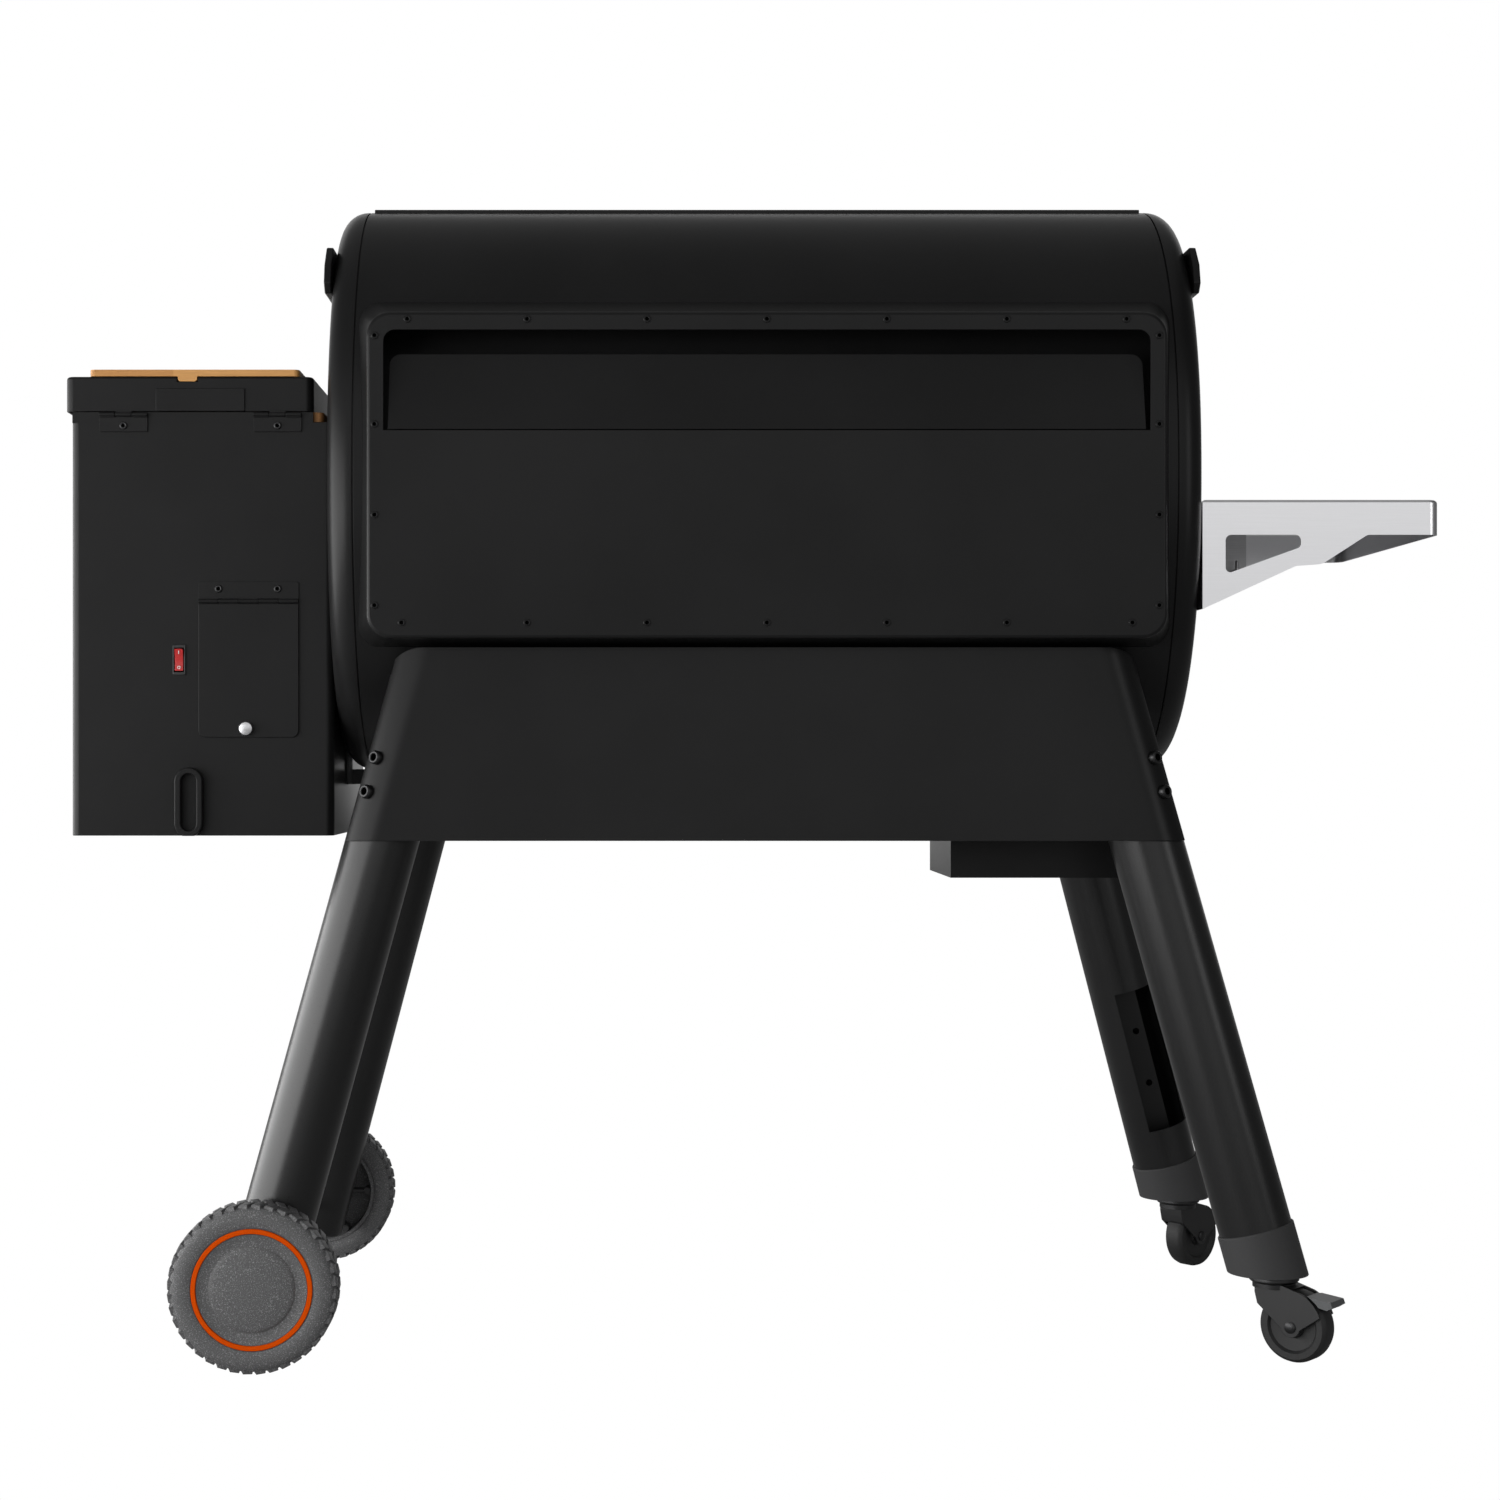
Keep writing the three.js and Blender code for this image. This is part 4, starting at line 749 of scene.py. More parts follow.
def build_legs():
    for face, place in FACES:
        build_apron(face, place)
        tube = leg_tube(1, face, 52 * MM)
        piece(f"hopper_leg_tube_{place}", tube, TUBE, "frame",
              replaces=[f"hopper_leg_{place}"])
        foot = leg_point(52 * MM, 1, face)
        up = (leg_point(0.1, 1, face) - foot).normalized()
        plug = turned([(0, -3 * MM), (LEG_RADIUS - 5 * MM, -3 * MM), (LEG_RADIUS, 0),
                       (LEG_RADIUS - SHEET - 0.1 * MM, 0.2 * MM),
                       (LEG_RADIUS - SHEET - 0.1 * MM, 14 * MM), (0, 14 * MM)], foot, up, 56)
        piece(f"hopper_leg_plug_{place}", plug, GREY, "frame")
        tube = leg_tube(-1, face, 102 * MM)
        if face < 0:
            cut(tube, leg_window())
            build_window_plate()
        piece(f"shelf_leg_tube_{place}", tube, TUBE, "frame", 0.3 * MM if face < 0 else 0,
              replaces=[f"shelf_leg_{place}"])
        build_leg_cap(face, place)


def window_frame():
    """The turned axes of the service window in the front leg on the shelf side."""
    middle = leg_point(248 * MM, -1, -1)
    up = (leg_point(0.4, -1, -1) - leg_point(0.1, -1, -1)).normalized()
    out = (Y.cross(up)).normalized()
    return middle, out, up.cross(out).normalized(), up


def window_box(x0, x1, y0, y1, z0, z1):
    middle, across, back, up = window_frame()
    made = block(x0, x1, y0, y1, z0, z1)
    turn = Matrix((across, back, up)).transposed().to_4x4()
    made.data.transform(Matrix.Translation(middle) @ turn)
    return made


def leg_window():
    return window_box(-56 * MM, 15 * MM, 6 * MM, 42 * MM, -72 * MM, 102 * MM)


def build_window_plate():
    plate = window_box(-15.5 * MM, 28 * MM, 2.5 * MM, 4.5 * MM, -85 * MM, 115 * MM)
    middle, across, back, up = window_frame()
    for z in (46 * MM, -20 * MM):
        centre = middle - across * 4.5 * MM + up * z
        cut(plate, bar(4 * MM, centre - back * 0.01, centre + back * 0.02, 24))
    web = window_box(-15.5 * MM, -13.5 * MM, -20 * MM, 2.6 * MM, -85 * MM, 115 * MM)
    piece("leg_window_plate", join(plate, web), DARK_PAINT, "frame", 0.3 * MM)


def build_leg_cap(face, place):
    """The cup under a shelf-side leg and the race its caster turns in."""
    radius = 40.2 * MM
    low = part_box(f"leg_cap_{place}")[0].z + 7.7 * MM
    top = 134 * MM
    start, end = leg_point(60 * MM, -1, face), leg_point(top, -1, face)
    cup = turned([(0, 0), (radius, 0), (radius, (end - start).length - 1.2 * MM),
                  (radius - 1.2 * MM, (end - start).length), (0, (end - start).length)], start, end - start,
                  72)
    cut(cup, bar(LEG_RADIUS + 0.2 * MM, leg_point(101 * MM, -1, face), leg_point(0.16, -1, face), 72))
    cut(cup, block(MID - 0.7, MID - 0.4, -0.4, 0.4, 0, low))
    pivot = PIVOT[f"caster_{place}_swivel"]
    cut(cup, bar(6 * MM, (pivot.x, pivot.y, low - 0.01), (pivot.x, pivot.y, low + 1 * MM), 24))
    piece(f"leg_cap_{place}_cup", cup, GREY, "frame", 1.0 * MM, replaces=[f"leg_cap_{place}"])
    race = turned([(6.2 * MM, 80.4 * MM), (24 * MM, 80.4 * MM), (26 * MM, 82.4 * MM), (26 * MM, 85 * MM),
                   (24.6 * MM, 87.9 * MM), (6.2 * MM, 87.9 * MM)], (pivot.x, pivot.y, 0), Z, 48)
    piece(f"caster_race_{place}", race, DARK_STEEL, "frame")


# ---------------------------------------------------------------- wheels

WHEEL_RADIUS = 86.5 * MM
RIM_RADIUS = 63 * MM


def build_wheel(face, place):
    """A speckled moulded wheel: staggered tread blocks, a bright ring and a raised centre with no marks."""
    body = f"wheel_{place}"
    low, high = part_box(f"wheel_tyre_{place}")
    inner, outer = (low.y, high.y) if face > 0 else (high.y, low.y)
    width = abs(outer - inner)
    centre = Vector((PIVOT[f"wheel_{place}_spin"].x, inner, PIVOT[f"wheel_{place}_spin"].z))
    out = Y * face
    base = WHEEL_RADIUS - 2.4 * MM
    tyre = turned([
        (RIM_RADIUS, 3 * MM), (RIM_RADIUS + 4 * MM, 0.6 * MM), (base - 8 * MM, 0),
        (base - 2 * MM, 2.5 * MM), (base, 7 * MM),
        (base, width - 7 * MM), (base - 0.7 * MM, width - 4.6 * MM), (base - 2.6 * MM, width - 2.7 * MM),
        (base - 6 * MM, width - 1.2 * MM), (base - 11 * MM, width - 0.2 * MM),
        (RIM_RADIUS + 5 * MM, width - 0.4 * MM),
        (RIM_RADIUS + 1.5 * MM, width - 1.2 * MM), (RIM_RADIUS, width - 1.8 * MM),
    ], centre, out, 96)
    lugs = []
    count = 40
    for row, (offset, tilt) in enumerate(((11.5 * MM, 18), (width - 12.2 * MM, -18))):
        for i in range(count):
            angle = 2 * math.pi * (i + 0.5 * row) / count
            lugs.append(tread_block(centre, out, angle, offset, tilt, base))
    piece(f"{body}_tyre", join(tyre, *lugs), RUBBER, body,
          replaces=[f"wheel_tyre_{place}"], angle=30)
    disc = turned([
        (0, width), (18 * MM, width - 0.3 * MM), (32 * MM, width - 1.2 * MM), (40 * MM, width - 2.2 * MM),
        (43 * MM, width - 2.9 * MM), (44.4 * MM, width - 4.1 * MM), (48 * MM, width - 4.3 * MM),
        (53 * MM, width - 3.3 * MM), (56.4 * MM, width - 2.4 * MM), (56.7 * MM, width - 3.6 * MM),
        (62.3 * MM, width - 3.6 * MM), (62.5 * MM, width - 1.7 * MM),
        (RIM_RADIUS - 0.2 * MM, width - 1.6 * MM),
        (RIM_RADIUS - 0.2 * MM, 2 * MM), (RIM_RADIUS - 4 * MM, 2 * MM), (RIM_RADIUS - 5 * MM, 26 * MM),
        (16 * MM, 28 * MM), (14.5 * MM, 2.5 * MM), (13 * MM, 1.6 * MM), (6.3 * MM, 1.6 * MM),
        (6.2 * MM, 24 * MM), (0, 24 * MM),
    ], centre, out, 96)
    piece(f"{body}_disc", disc, RUBBER, body, replaces=[f"wheel_hub_{place}"], angle=30)
    ring = turned([(57 * MM, width - 3.4 * MM), (57 * MM, width - 1.9 * MM), (57.6 * MM, width - 1.2 * MM),
                   (61.4 * MM, width - 1.2 * MM), (62 * MM, width - 1.9 * MM), (62 * MM, width - 3.4 * MM)],
                   centre, out, 96)
    piece(f"{body}_ring", ring, ORANGE, body)
    ribs = []
    for i in range(6):
        rib = block(13 * MM, RIM_RADIUS - 4.4 * MM, -1.6 * MM, 1.6 * MM, 6 * MM, 29 * MM)
        rib.data.transform(wheel_turn(centre, out, math.pi / 3 * i))
        ribs.append(rib)
        spot = wheel_turn(centre, out, math.pi / 3 * i) @ Vector((54 * MM, 0, 5 * MM))
        ribs.append(turned([(0, 0), (4.2 * MM, 0), (4.2 * MM, 22 * MM), (0, 22 * MM)], spot, out, 20))
    piece(f"{body}_ribs", join(*ribs), GREY, body, 0.4 * MM)


def wheel_turn(centre, out, angle):
    """Local X becomes the spoke at an angle and local Z the axle's outward direction."""
    u = Vector((math.cos(angle), 0, math.sin(angle)))
    v = out.cross(u)
    return Matrix.Translation(centre) @ Matrix((u, v, out)).transposed().to_4x4()


def tread_block(centre, out, angle, offset, tilt, base):
    half_run, half_wide, high = 4.9 * MM, 8.4 * MM, 2.4 * MM
    lower = [(-half_run, -half_wide), (half_run, -half_wide), (half_run, half_wide), (-half_run, half_wide)]
    skew = Matrix.Rotation(math.radians(tilt), 2)
    stack = [(-2 * MM, 1.06), (high - 0.9 * MM, 1.0), (high - 0.25 * MM, 0.93), (high - 0.02 * MM, 0.82)]
    rings = []
    for rise, share in stack:
        ring = []
        for run, wide in lower:
            turned_point = skew @ Vector((run * share, wide * share))
            sag = turned_point.x ** 2 / (2 * base)
            ring.append(Vector((base + rise - sag, turned_point.x, turned_point.y + offset)))
        rings.append(ring)
    made = loft(rings)
    made.data.transform(wheel_turn(centre, out, angle))
    return made


def build_wheels():
    for face, place in FACES:
        build_wheel(face, place)
    low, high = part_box("wheel_axle")
    middle = (low + high) / 2
    axle = bar(6 * MM, (middle.x, low.y, middle.z), (middle.x, high.y, middle.z), 40, 0.8 * MM)
    piece("wheel_axle_rod", axle, STEEL, "frame", replaces=["wheel_axle"])


# ---------------------------------------------------------------- casters


def caster_axes(place):
    """Where a caster's roller turns: its pivot, the trailing direction and the roller's axle."""
    swivel = PIVOT[f"caster_{place}_swivel"]
    hub = PIVOT[f"caster_{place}_spin"]
    heading = Vector((hub.x - swivel.x, hub.y - swivel.y, 0))
    return swivel, hub, heading.normalized(), Vector(JOINTS[f"caster_{place}_spin"]["axis"])


def build_caster(place):
    """A moulded fork with its neck and bolt, and the roller it carries."""
    swivel, hub, heading, axle = caster_axes(place)
    side = Z.cross(heading)
    turn = Matrix((heading, side, Z)).transposed().to_4x4()
    local = Matrix.Translation((swivel.x, swivel.y, 0)) @ turn
    trail = (Vector((hub.x, hub.y, 0)) - Vector((swivel.x, swivel.y, 0))).length
    gap = 13.5 * MM
    wall = 2.8 * MM
    outline = [(-11 * MM, 58 * MM), (-14 * MM, 70 * MM), (-14 * MM, 79.8 * MM), (16 * MM, 79.8 * MM)]
    outline += arc(trail - 4 * MM, 38 * MM, 39 * MM, 66, -46, 8)
    outline.append((trail + 11 * MM, 36 * MM))
    outline += arc(trail, hub.z, 10.5 * MM, -10, -160, 8)
    fork = prism(outline, 1, -gap - wall, gap + wall)
    pocket = [(-0.06, -0.01), (0.12, -0.01), (0.12, 58 * MM)]
    pocket += arc(trail, hub.z, 39 * MM, 40, 115, 12)
    pocket.append((-0.06, 58 * MM))
    cut(fork, prism(pocket, 1, -gap, gap))
    fork.data.transform(local)
    piece(f"caster_fork_{place}_shell", fork, PLASTIC, f"caster_{place}", 1.0 * MM,
          replaces=[f"caster_fork_{place}"])
    neck = turned([(0, 74.5 * MM), (22 * MM, 74.5 * MM), (22 * MM, 79.4 * MM), (5.6 * MM, 79.9 * MM),
                   (5.6 * MM, 86 * MM),
                   (0, 86 * MM)], (swivel.x, swivel.y, 0), Z, 40)
    piece(f"caster_neck_{place}", neck, DARK_STEEL, f"caster_{place}")
    bolt = turned([
        (0, -gap - wall - 2.4 * MM), (3.5 * MM, -gap - wall - 2.4 * MM), (6 * MM, -gap - wall - 1 * MM),
        (6 * MM, -gap - wall), (5.8 * MM, -gap), (5.8 * MM, gap), (6 * MM, gap + wall),
        (6 * MM, gap + wall + 1 * MM),
        (3.5 * MM, gap + wall + 2.4 * MM), (0, gap + wall + 2.4 * MM),
    ], hub, axle, 36)
    piece(f"caster_bolt_{place}", bolt, DARK_STEEL, f"caster_{place}")
    half = 12.5 * MM
    radius = hub.z
    roller = turned([
        (6.1 * MM, -half + 0.5 * MM), (11 * MM, -half + 0.5 * MM), (12 * MM, -half + 4 * MM),
        (25 * MM, -half + 3 * MM),
        (27.5 * MM, -half), (radius - 4 * MM, -half), (radius - 1.2 * MM, -half + 2.2 * MM),
        (radius, -half + 6 * MM),
        (radius, half - 6 * MM), (radius - 1.2 * MM, half - 2.2 * MM), (radius - 4 * MM, half),
        (27.5 * MM, half),
        (25 * MM, half - 3 * MM), (12 * MM, half - 4 * MM), (11 * MM, half - 0.5 * MM),
        (6.1 * MM, half - 0.5 * MM),
    ], hub, axle, 72)
    piece(f"caster_roller_{place}_tread", roller, TREAD, f"caster_roller_{place}",
          replaces=[f"caster_wheel_{place}"])


def build_casters():
    for place in ("rear", "front"):
        build_caster(place)
    from_cad("caster_brake_pedal", PALE, "brake_pedal", 0.8 * MM, "caster_brake_lever")


# ---------------------------------------------------------------- hopper

HOPPER_LEFT, HOPPER_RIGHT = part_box("hopper_body")[0].x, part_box("hopper_body")[1].x
HOPPER_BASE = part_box("hopper_body")[0].z
HOPPER_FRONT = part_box("hopper_body")[0].y
HOPPER_TOP = HOPPER_BASE + 451 * MM
HOPPER_REAR = 123 * MM


def wide(x):
    """A distance from the barrel's middle, in millimetres, as a place along X."""
    return MID + x * MM


def build_hopper():
    """The hopper's box with its mouth, doorway, collar, seal and the loop that holds the cord."""
    corner = 9 * MM
    plan = rounded(HOPPER_LEFT, HOPPER_RIGHT, HOPPER_FRONT, HOPPER_REAR, corner, 10)
    shell = prism(plan, 2, HOPPER_BASE, HOPPER_TOP)
    inside = (HOPPER_LEFT + SHEET, HOPPER_RIGHT - SHEET, HOPPER_FRONT + SHEET, HOPPER_REAR - SHEET)
    hollow = rounded(*inside, corner - SHEET, 8)
    mouth = rounded(wide(495), wide(745), -170 * MM, 112 * MM, 8 * MM)
    cut(shell, prism(hollow, 2, HOPPER_BASE + SHEET, HOPPER_TOP - SHEET))
    cut(shell, prism(mouth, 2, HOPPER_TOP - 0.01, HOPPER_TOP + 0.01))
    doorway = rounded(wide(511), wide(605), 657 * MM, 788 * MM, 5 * MM)
    cut(shell, prism(doorway, 1, 0.1, 0.14), block(wide(628.6), wide(639.2), 0.1, 0.14, 0.7206, 0.7466))
    cut(shell, *feed_ports(wide(460), wide(475)))
    piece("hopper_shell", shell, BLACK, "frame", 0.8 * MM, replaces=["hopper_body"])
    lip = block(wide(488), wide(750.5), HOPPER_REAR - SHEET, HOPPER_REAR, HOPPER_TOP - 1 * MM, 1003.7 * MM)
    piece("hopper_rear_lip", lip, BLACK, "frame")
    outer = rounded(wide(492), wide(748), -173 * MM, 115 * MM, 10 * MM)
    rim = rounded(wide(477), wide(749.5), -182 * MM, 119.8 * MM, 6 * MM)
    seal = prism(rim, 2, HOPPER_TOP + 0.2 * MM, 1003.9 * MM)
    cut(seal, prism(rounded(wide(491), wide(749), -174 * MM, 116 * MM, 8 * MM), 2, 0.9, 1.1))
    piece("hopper_lid_seal", seal, SEAL, "frame", 1.5 * MM)
    foot = block(wide(446), wide(465.4), -40 * MM, -37.5 * MM, 597 * MM, 690 * MM)
    cut(foot, barrel_slug(-0.3 * MM, *SNUG))
    flange = block(wide(462.9), wide(465.4), -37.5 * MM, 2 * MM, 597 * MM, 690 * MM)
    piece("hopper_support_bracket", join(foot, flange), GREY, "frame", 0.3 * MM)
    collar = prism(outer, 2, HOPPER_TOP - 1 * MM, 1.018)
    cut(collar, prism(mouth, 2, 0.9, 1.1))
    piece("hopper_rain_collar", collar, BLACK, "frame", 0.5 * MM)
    loop = rounded(wide(607), wide(637.6), 0.5408, 0.6163, 15.2 * MM, 12)
    bracket = prism(loop, 1, HOPPER_REAR - 1 * MM, HOPPER_REAR + 12 * MM)
    cut(bracket, prism(rounded(wide(613.7), wide(630.4), 0.5475, 0.6097, 8.3 * MM, 12), 1, 0.1, 0.15))
    cut(bracket, block(wide(600), wide(645), 0.1, 0.14, 0.53, HOPPER_BASE))
    piece("cord_bracket", bracket, BLACK, "frame", 1.6 * MM)
    from_cad("hopper_funnel", INSIDE, "frame", 0, "hopper_funnel_sheet", 25)


def build_hopper_lid():
    """The hopper's pressed lid on two hinges, with a notch for the board's tab."""
    base, top = 1004.7 * MM, 1042.7 * MM
    front, rear = -192 * MM, 123 * MM
    corner = 9 * MM
    dome = 3 * MM

    def ring(grow, z):
        outline = rounded(wide(488) + grow, wide(758) - grow, front + grow, rear - grow, corner - grow, 8)
        return [Vector((x, y, z)) for x, y in outline]

    def tray(inset, bottom):
        rings = [ring(inset, bottom), ring(inset, top - dome)]
        for step in range(1, 6):
            angle = math.radians(18 * step)
            rise = (dome - inset) * math.sin(angle)
            rings.append(ring(inset + (dome - inset) * (1 - math.cos(angle)), top - dome + rise))
        return loft(rings)
    lid = tray(0, base)
    cut(lid, tray(SHEET, base - 2 * MM))
    cut(lid, block(wide(613.5), wide(636.5), rear - 12 * MM, 0.13, 1037 * MM, 1.05))
    piece("hopper_lid_pressing", lid, BLACK, "hopper_cover", 0.5 * MM,
          replaces=["hopper_lid"], steps=2)
    outline = rounded(wide(562.3), wide(659.3), base, 1029.6 * MM, 1.5 * MM, 4)
    pad = prism(outline, 1, rear - 0.6 * MM, rear + 2 * MM)
    piece("hopper_lid_pad", pad, BLACK, "hopper_cover", 0.7 * MM)
    screws = []
    for left, right, place in ((500.2, 552.5, "left"), (668.1, 720.4, "right")):
        third = (right - left) / 3
        pin = PIVOT["hopper_lid_hinge"]
        outline = rounded(wide(left), wide(right), 982.3 * MM, pin.z - 1.6 * MM, 1.6 * MM, 4)
        knuckles = [prism(outline, 1, HOPPER_REAR, HOPPER_REAR + 2.3 * MM)]
        for a, b in ((left, left + third - 0.4), (right - third + 0.4, right)):
            knuckles.append(bar(2.3 * MM, (wide(a), pin.y, pin.z), (wide(b), pin.y, pin.z), 24, 0.4 * MM))
            knuckles.append(block(wide(a + 0.3), wide(b - 0.3), HOPPER_REAR + 0.4 * MM, pin.y,
                                  pin.z - 3 * MM, pin.z))
        piece(f"hopper_hinge_leaf_{place}", join(*knuckles), BLACK, "frame", 0.4 * MM)
        a, b = left + third, right - third
        tongue = [
            bar(2.3 * MM, (wide(a), pin.y, pin.z), (wide(b), pin.y, pin.z), 24, 0.4 * MM),
            block(wide(a), wide(b), HOPPER_REAR + 0.4 * MM, HOPPER_REAR + 2 * MM, pin.z, 1005 * MM),
        ]
        piece(f"hopper_hinge_tongue_{place}", join(*tongue), BLACK, "hopper_cover",
              0.4 * MM)
        screws.append((Vector((wide((left + right) / 2), HOPPER_REAR + 2.2 * MM, 988.8 * MM)), Y))
    heads("hopper_hinge_screws", screws, 4.2 * MM, 2.2 * MM, DARK_STEEL, "frame")


def build_board():
    """A bamboo board with a finger tab that drops into the lid's notch."""
    board_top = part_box("cutting_board")[1].z
    base = 1042.7 * MM + 0.3 * MM
    outline = rounded(wide(503.1), wide(731.7), -178 * MM, 123 * MM, 6 * MM, 8)
    slab = prism(outline, 2, base, board_top)
    outline = rounded(wide(614.5), wide(635.5), 1037.4 * MM, base + 2 * MM, 3 * MM, 6)
    tab = prism(outline, 1, 112 * MM, 123 * MM)
    combine(slab, tab, "UNION")
    piece("bamboo_board", slab, BAMBOO, "board", 1.1 * MM, replaces=["cutting_board"])


def build_cleanout():
    """The door that lets the last pellets out, on a piano hinge."""
    left, right = wide(503.4), wide(612.5)
    pin = PIVOT["cleanout_door_hinge"]
    run = (right - left) / 5
    outline = rounded(left, right, 649.2 * MM, pin.z - 2.9 * MM + 8 * MM, 7.6 * MM, 8)
    panel = prism(outline, 1, HOPPER_REAR + 0.5 * MM, HOPPER_REAR + 3 * MM)
    cut(panel, block(left - 0.01, right + 0.01, 0.1, 0.14, pin.z - 2.9 * MM, 0.9))
    piece("cleanout_panel", panel, BLACK, "cleanout", 0.6 * MM,
          replaces=["cleanout_door"])
    outline = rounded(left, right, pin.z - 4 * MM, 818.7 * MM, 2.6 * MM, 5)
    flange = prism(outline, 1, HOPPER_REAR + 0.3 * MM, HOPPER_REAR + 1.8 * MM)
    cut(flange, block(left - 0.01, right + 0.01, 0.1, 0.14, 0.7, pin.z + 2.9 * MM))
    fixed, moving = [flange], []
    for i in range(5):
        a, b = left + i * run + 0.2 * MM, left + (i + 1) * run - 0.2 * MM
        target = moving if i % 2 else fixed
        target.append(bar(2.2 * MM, (a, pin.y, pin.z), (b, pin.y, pin.z), 28, 0.3 * MM))
        rise = -3 * MM if i % 2 else 3 * MM
        low, high = sorted((pin.z, pin.z + rise))
        target.append(block(a, b, HOPPER_REAR + 0.5 * MM, HOPPER_REAR + 1.8 * MM, low, high))
    piece("cleanout_hinge", join(*fixed), BLACK, "frame", 0.3 * MM,
          replaces=["cleanout_hinge_leaf"])
    piece("cleanout_knuckles", join(*moving), BLACK, "cleanout", 0.3 * MM)
    screws = [(Vector((wide(x), HOPPER_REAR + 1.7 * MM, 811.1 * MM)), Y) for x in (590.7, 526.3)]
    heads("cleanout_hinge_screws", screws, 4.2 * MM, 2.2 * MM, DARK_STEEL, "frame")
    knob = turned([(0, 0), (3 * MM, 0), (3 * MM, 3.4 * MM), (6.4 * MM, 3.4 * MM), (7.6 * MM, 4.6 * MM),
                   (7.6 * MM, 9.6 * MM),
                   (6.9 * MM, 10.8 * MM), (5.2 * MM, 11.3 * MM), (0, 11.5 * MM)],
                  (wide(560.1), HOPPER_REAR, 658.7 * MM), Y, 48)
    piece("cleanout_knob_turned", knob, BRIGHT_STEEL, "cleanout", replaces=["cleanout_knob"])


def build_switch():
    """A rocker switch with generic on and off marks."""
    outline = rounded(wide(626.7), wide(640.8), 717.3 * MM, 750 * MM, 1.5 * MM, 5)
    bezel = prism(outline, 1, HOPPER_REAR, HOPPER_REAR + 2 * MM)
    cut(bezel, block(wide(628.5), wide(639.3), 0.1, 0.14, 720.5 * MM, 746.7 * MM))
    piece("switch_frame", bezel, PLASTIC, "frame", 0.6 * MM, replaces=["switch_bezel"])
    pin = Vector((0, HOPPER_REAR + 1 * MM, 733.7 * MM))
    profile = [(pin.y - 9 * MM, 724 * MM), (pin.y + 1.6 * MM, 721.6 * MM)]
    for step in range(1, 8):
        share = step / 8
        dip = 2.2 * MM * math.sin(math.pi * share)
        profile.append((pin.y + (1.6 + 2.4 * share) * MM - dip, (721.6 + 24 * share) * MM))
    profile += [(pin.y + 4 * MM, 745.6 * MM), (pin.y - 9 * MM, 743.4 * MM)]
    rocker = prism(profile, 0, wide(629.3), wide(638.5))
    piece("switch_paddle", rocker, RED, "rocker", 0.5 * MM, replaces=["switch_rocker"],
          angle=50)
    dash = block(wide(633.5), wide(634.3), pin.y + 1 * MM, pin.y + 3.2 * MM, 740 * MM, 743.4 * MM)
    ring = turned([(1.1 * MM, -0.2 * MM), (1.7 * MM, -0.2 * MM), (1.7 * MM, 0.35 * MM),
                   (1.1 * MM, 0.35 * MM)],
                  (wide(633.9), pin.y + 1.05 * MM, 725.4 * MM), Y, 28)
    piece("switch_marks", join(dash, ring), WHITE, "rocker")


def build_controller():
    """Panel with a screen, a dial marked in steps and two push buttons."""
    low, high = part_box("controller_panel")
    panel = prism(rounded(low.x, high.x, low.z, high.z, 8 * MM, 10), 1, low.y, high.y)
    dial = PIVOT["dial_turn"]
    cut(panel, bar(4.4 * MM, (dial.x, low.y - 0.01, dial.z), (dial.x, high.y + 0.01, dial.z), 32))
    centres = []
    for i in (1, 2):
        a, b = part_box(f"controller_button_{i}")
        centres.append((a + b) / 2)
    for centre in centres:
        cut(panel, bar(8.4 * MM, (centre.x, low.y - 0.01, centre.z), (centre.x, high.y + 0.01, centre.z), 48))
    cut(panel, block(wide(618), wide(696), low.y - 0.01, low.y + 1.8 * MM, 0.905, 0.948))
    piece("controller_face", panel, PLASTIC, "frame", 1.0 * MM,
          replaces=["controller_panel"])
    glass = block(wide(618.6), wide(695.4), low.y + 0.5 * MM, low.y + 1.7 * MM, 0.9056, 0.9474)
    piece("controller_screen", glass, SCREEN, "frame", 0.3 * MM)
    a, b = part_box("controller_dial")
    radius = (b.x - a.x) / 2
    knob = turned([(0, 0), (radius - 7 * MM, 0), (radius - 4.6 * MM, 1.2 * MM), (radius - 3.6 * MM, 13 * MM),
                   (radius - 0.6 * MM, 15.4 * MM), (radius, 17 * MM), (radius, 19 * MM), (0, 19 * MM)],
                  (dial.x, a.y, dial.z), Y, 96)
    flutes = arc(dial.x, dial.z, radius - 3.0 * MM, 0, 360, 24)[:-1]
    cut(knob, *[bar(1.2 * MM, (x, a.y - 0.01, z), (x, a.y + 13 * MM, z), 10) for x, z in flutes])
    stem = bar(4 * MM, (dial.x, a.y + 18 * MM, dial.z), (dial.x, b.y, dial.z), 24)
    piece("controller_dial_knob", join(knob, stem), STEEL, "dial", 0.3 * MM,
          replaces=["controller_dial"])
    pointer = block(dial.x - 0.8 * MM, dial.x + 0.8 * MM, a.y, a.y + 0.5 * MM, dial.z + 7 * MM,
                    dial.z + 15 * MM)
    piece("controller_dial_pointer", pointer, ORANGE, "dial")
    ticks = []
    for k in range(11):
        angle = math.radians(-60 + 30 * k)
        tick = block(-0.5 * MM, 0.5 * MM, -0.25 * MM, 0.35 * MM, 27 * MM, 31 * MM)
        tick.data.transform(Matrix.Translation((dial.x, low.y, dial.z)) @ Matrix.Rotation(angle, 4, "Y"))
        ticks.append(tick)
    piece("controller_ticks", join(*ticks), WHITE, "frame")
    for i, centre in enumerate(centres, 1):
        a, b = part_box(f"controller_button_{i}")
        cap = turned([(0, 0.5 * MM), (4 * MM, 0.3 * MM), (7.2 * MM, 0), (8 * MM, 0.9 * MM),
                      (8 * MM, b.y - a.y), (0, b.y - a.y)],
                     (centre.x, a.y, centre.z), Y, 48)
        piece(f"controller_push_{i}", cap, PALE, f"button_{i}",
              replaces=[f"controller_button_{i}"])


# ---------------------------------------------------------------- side shelf

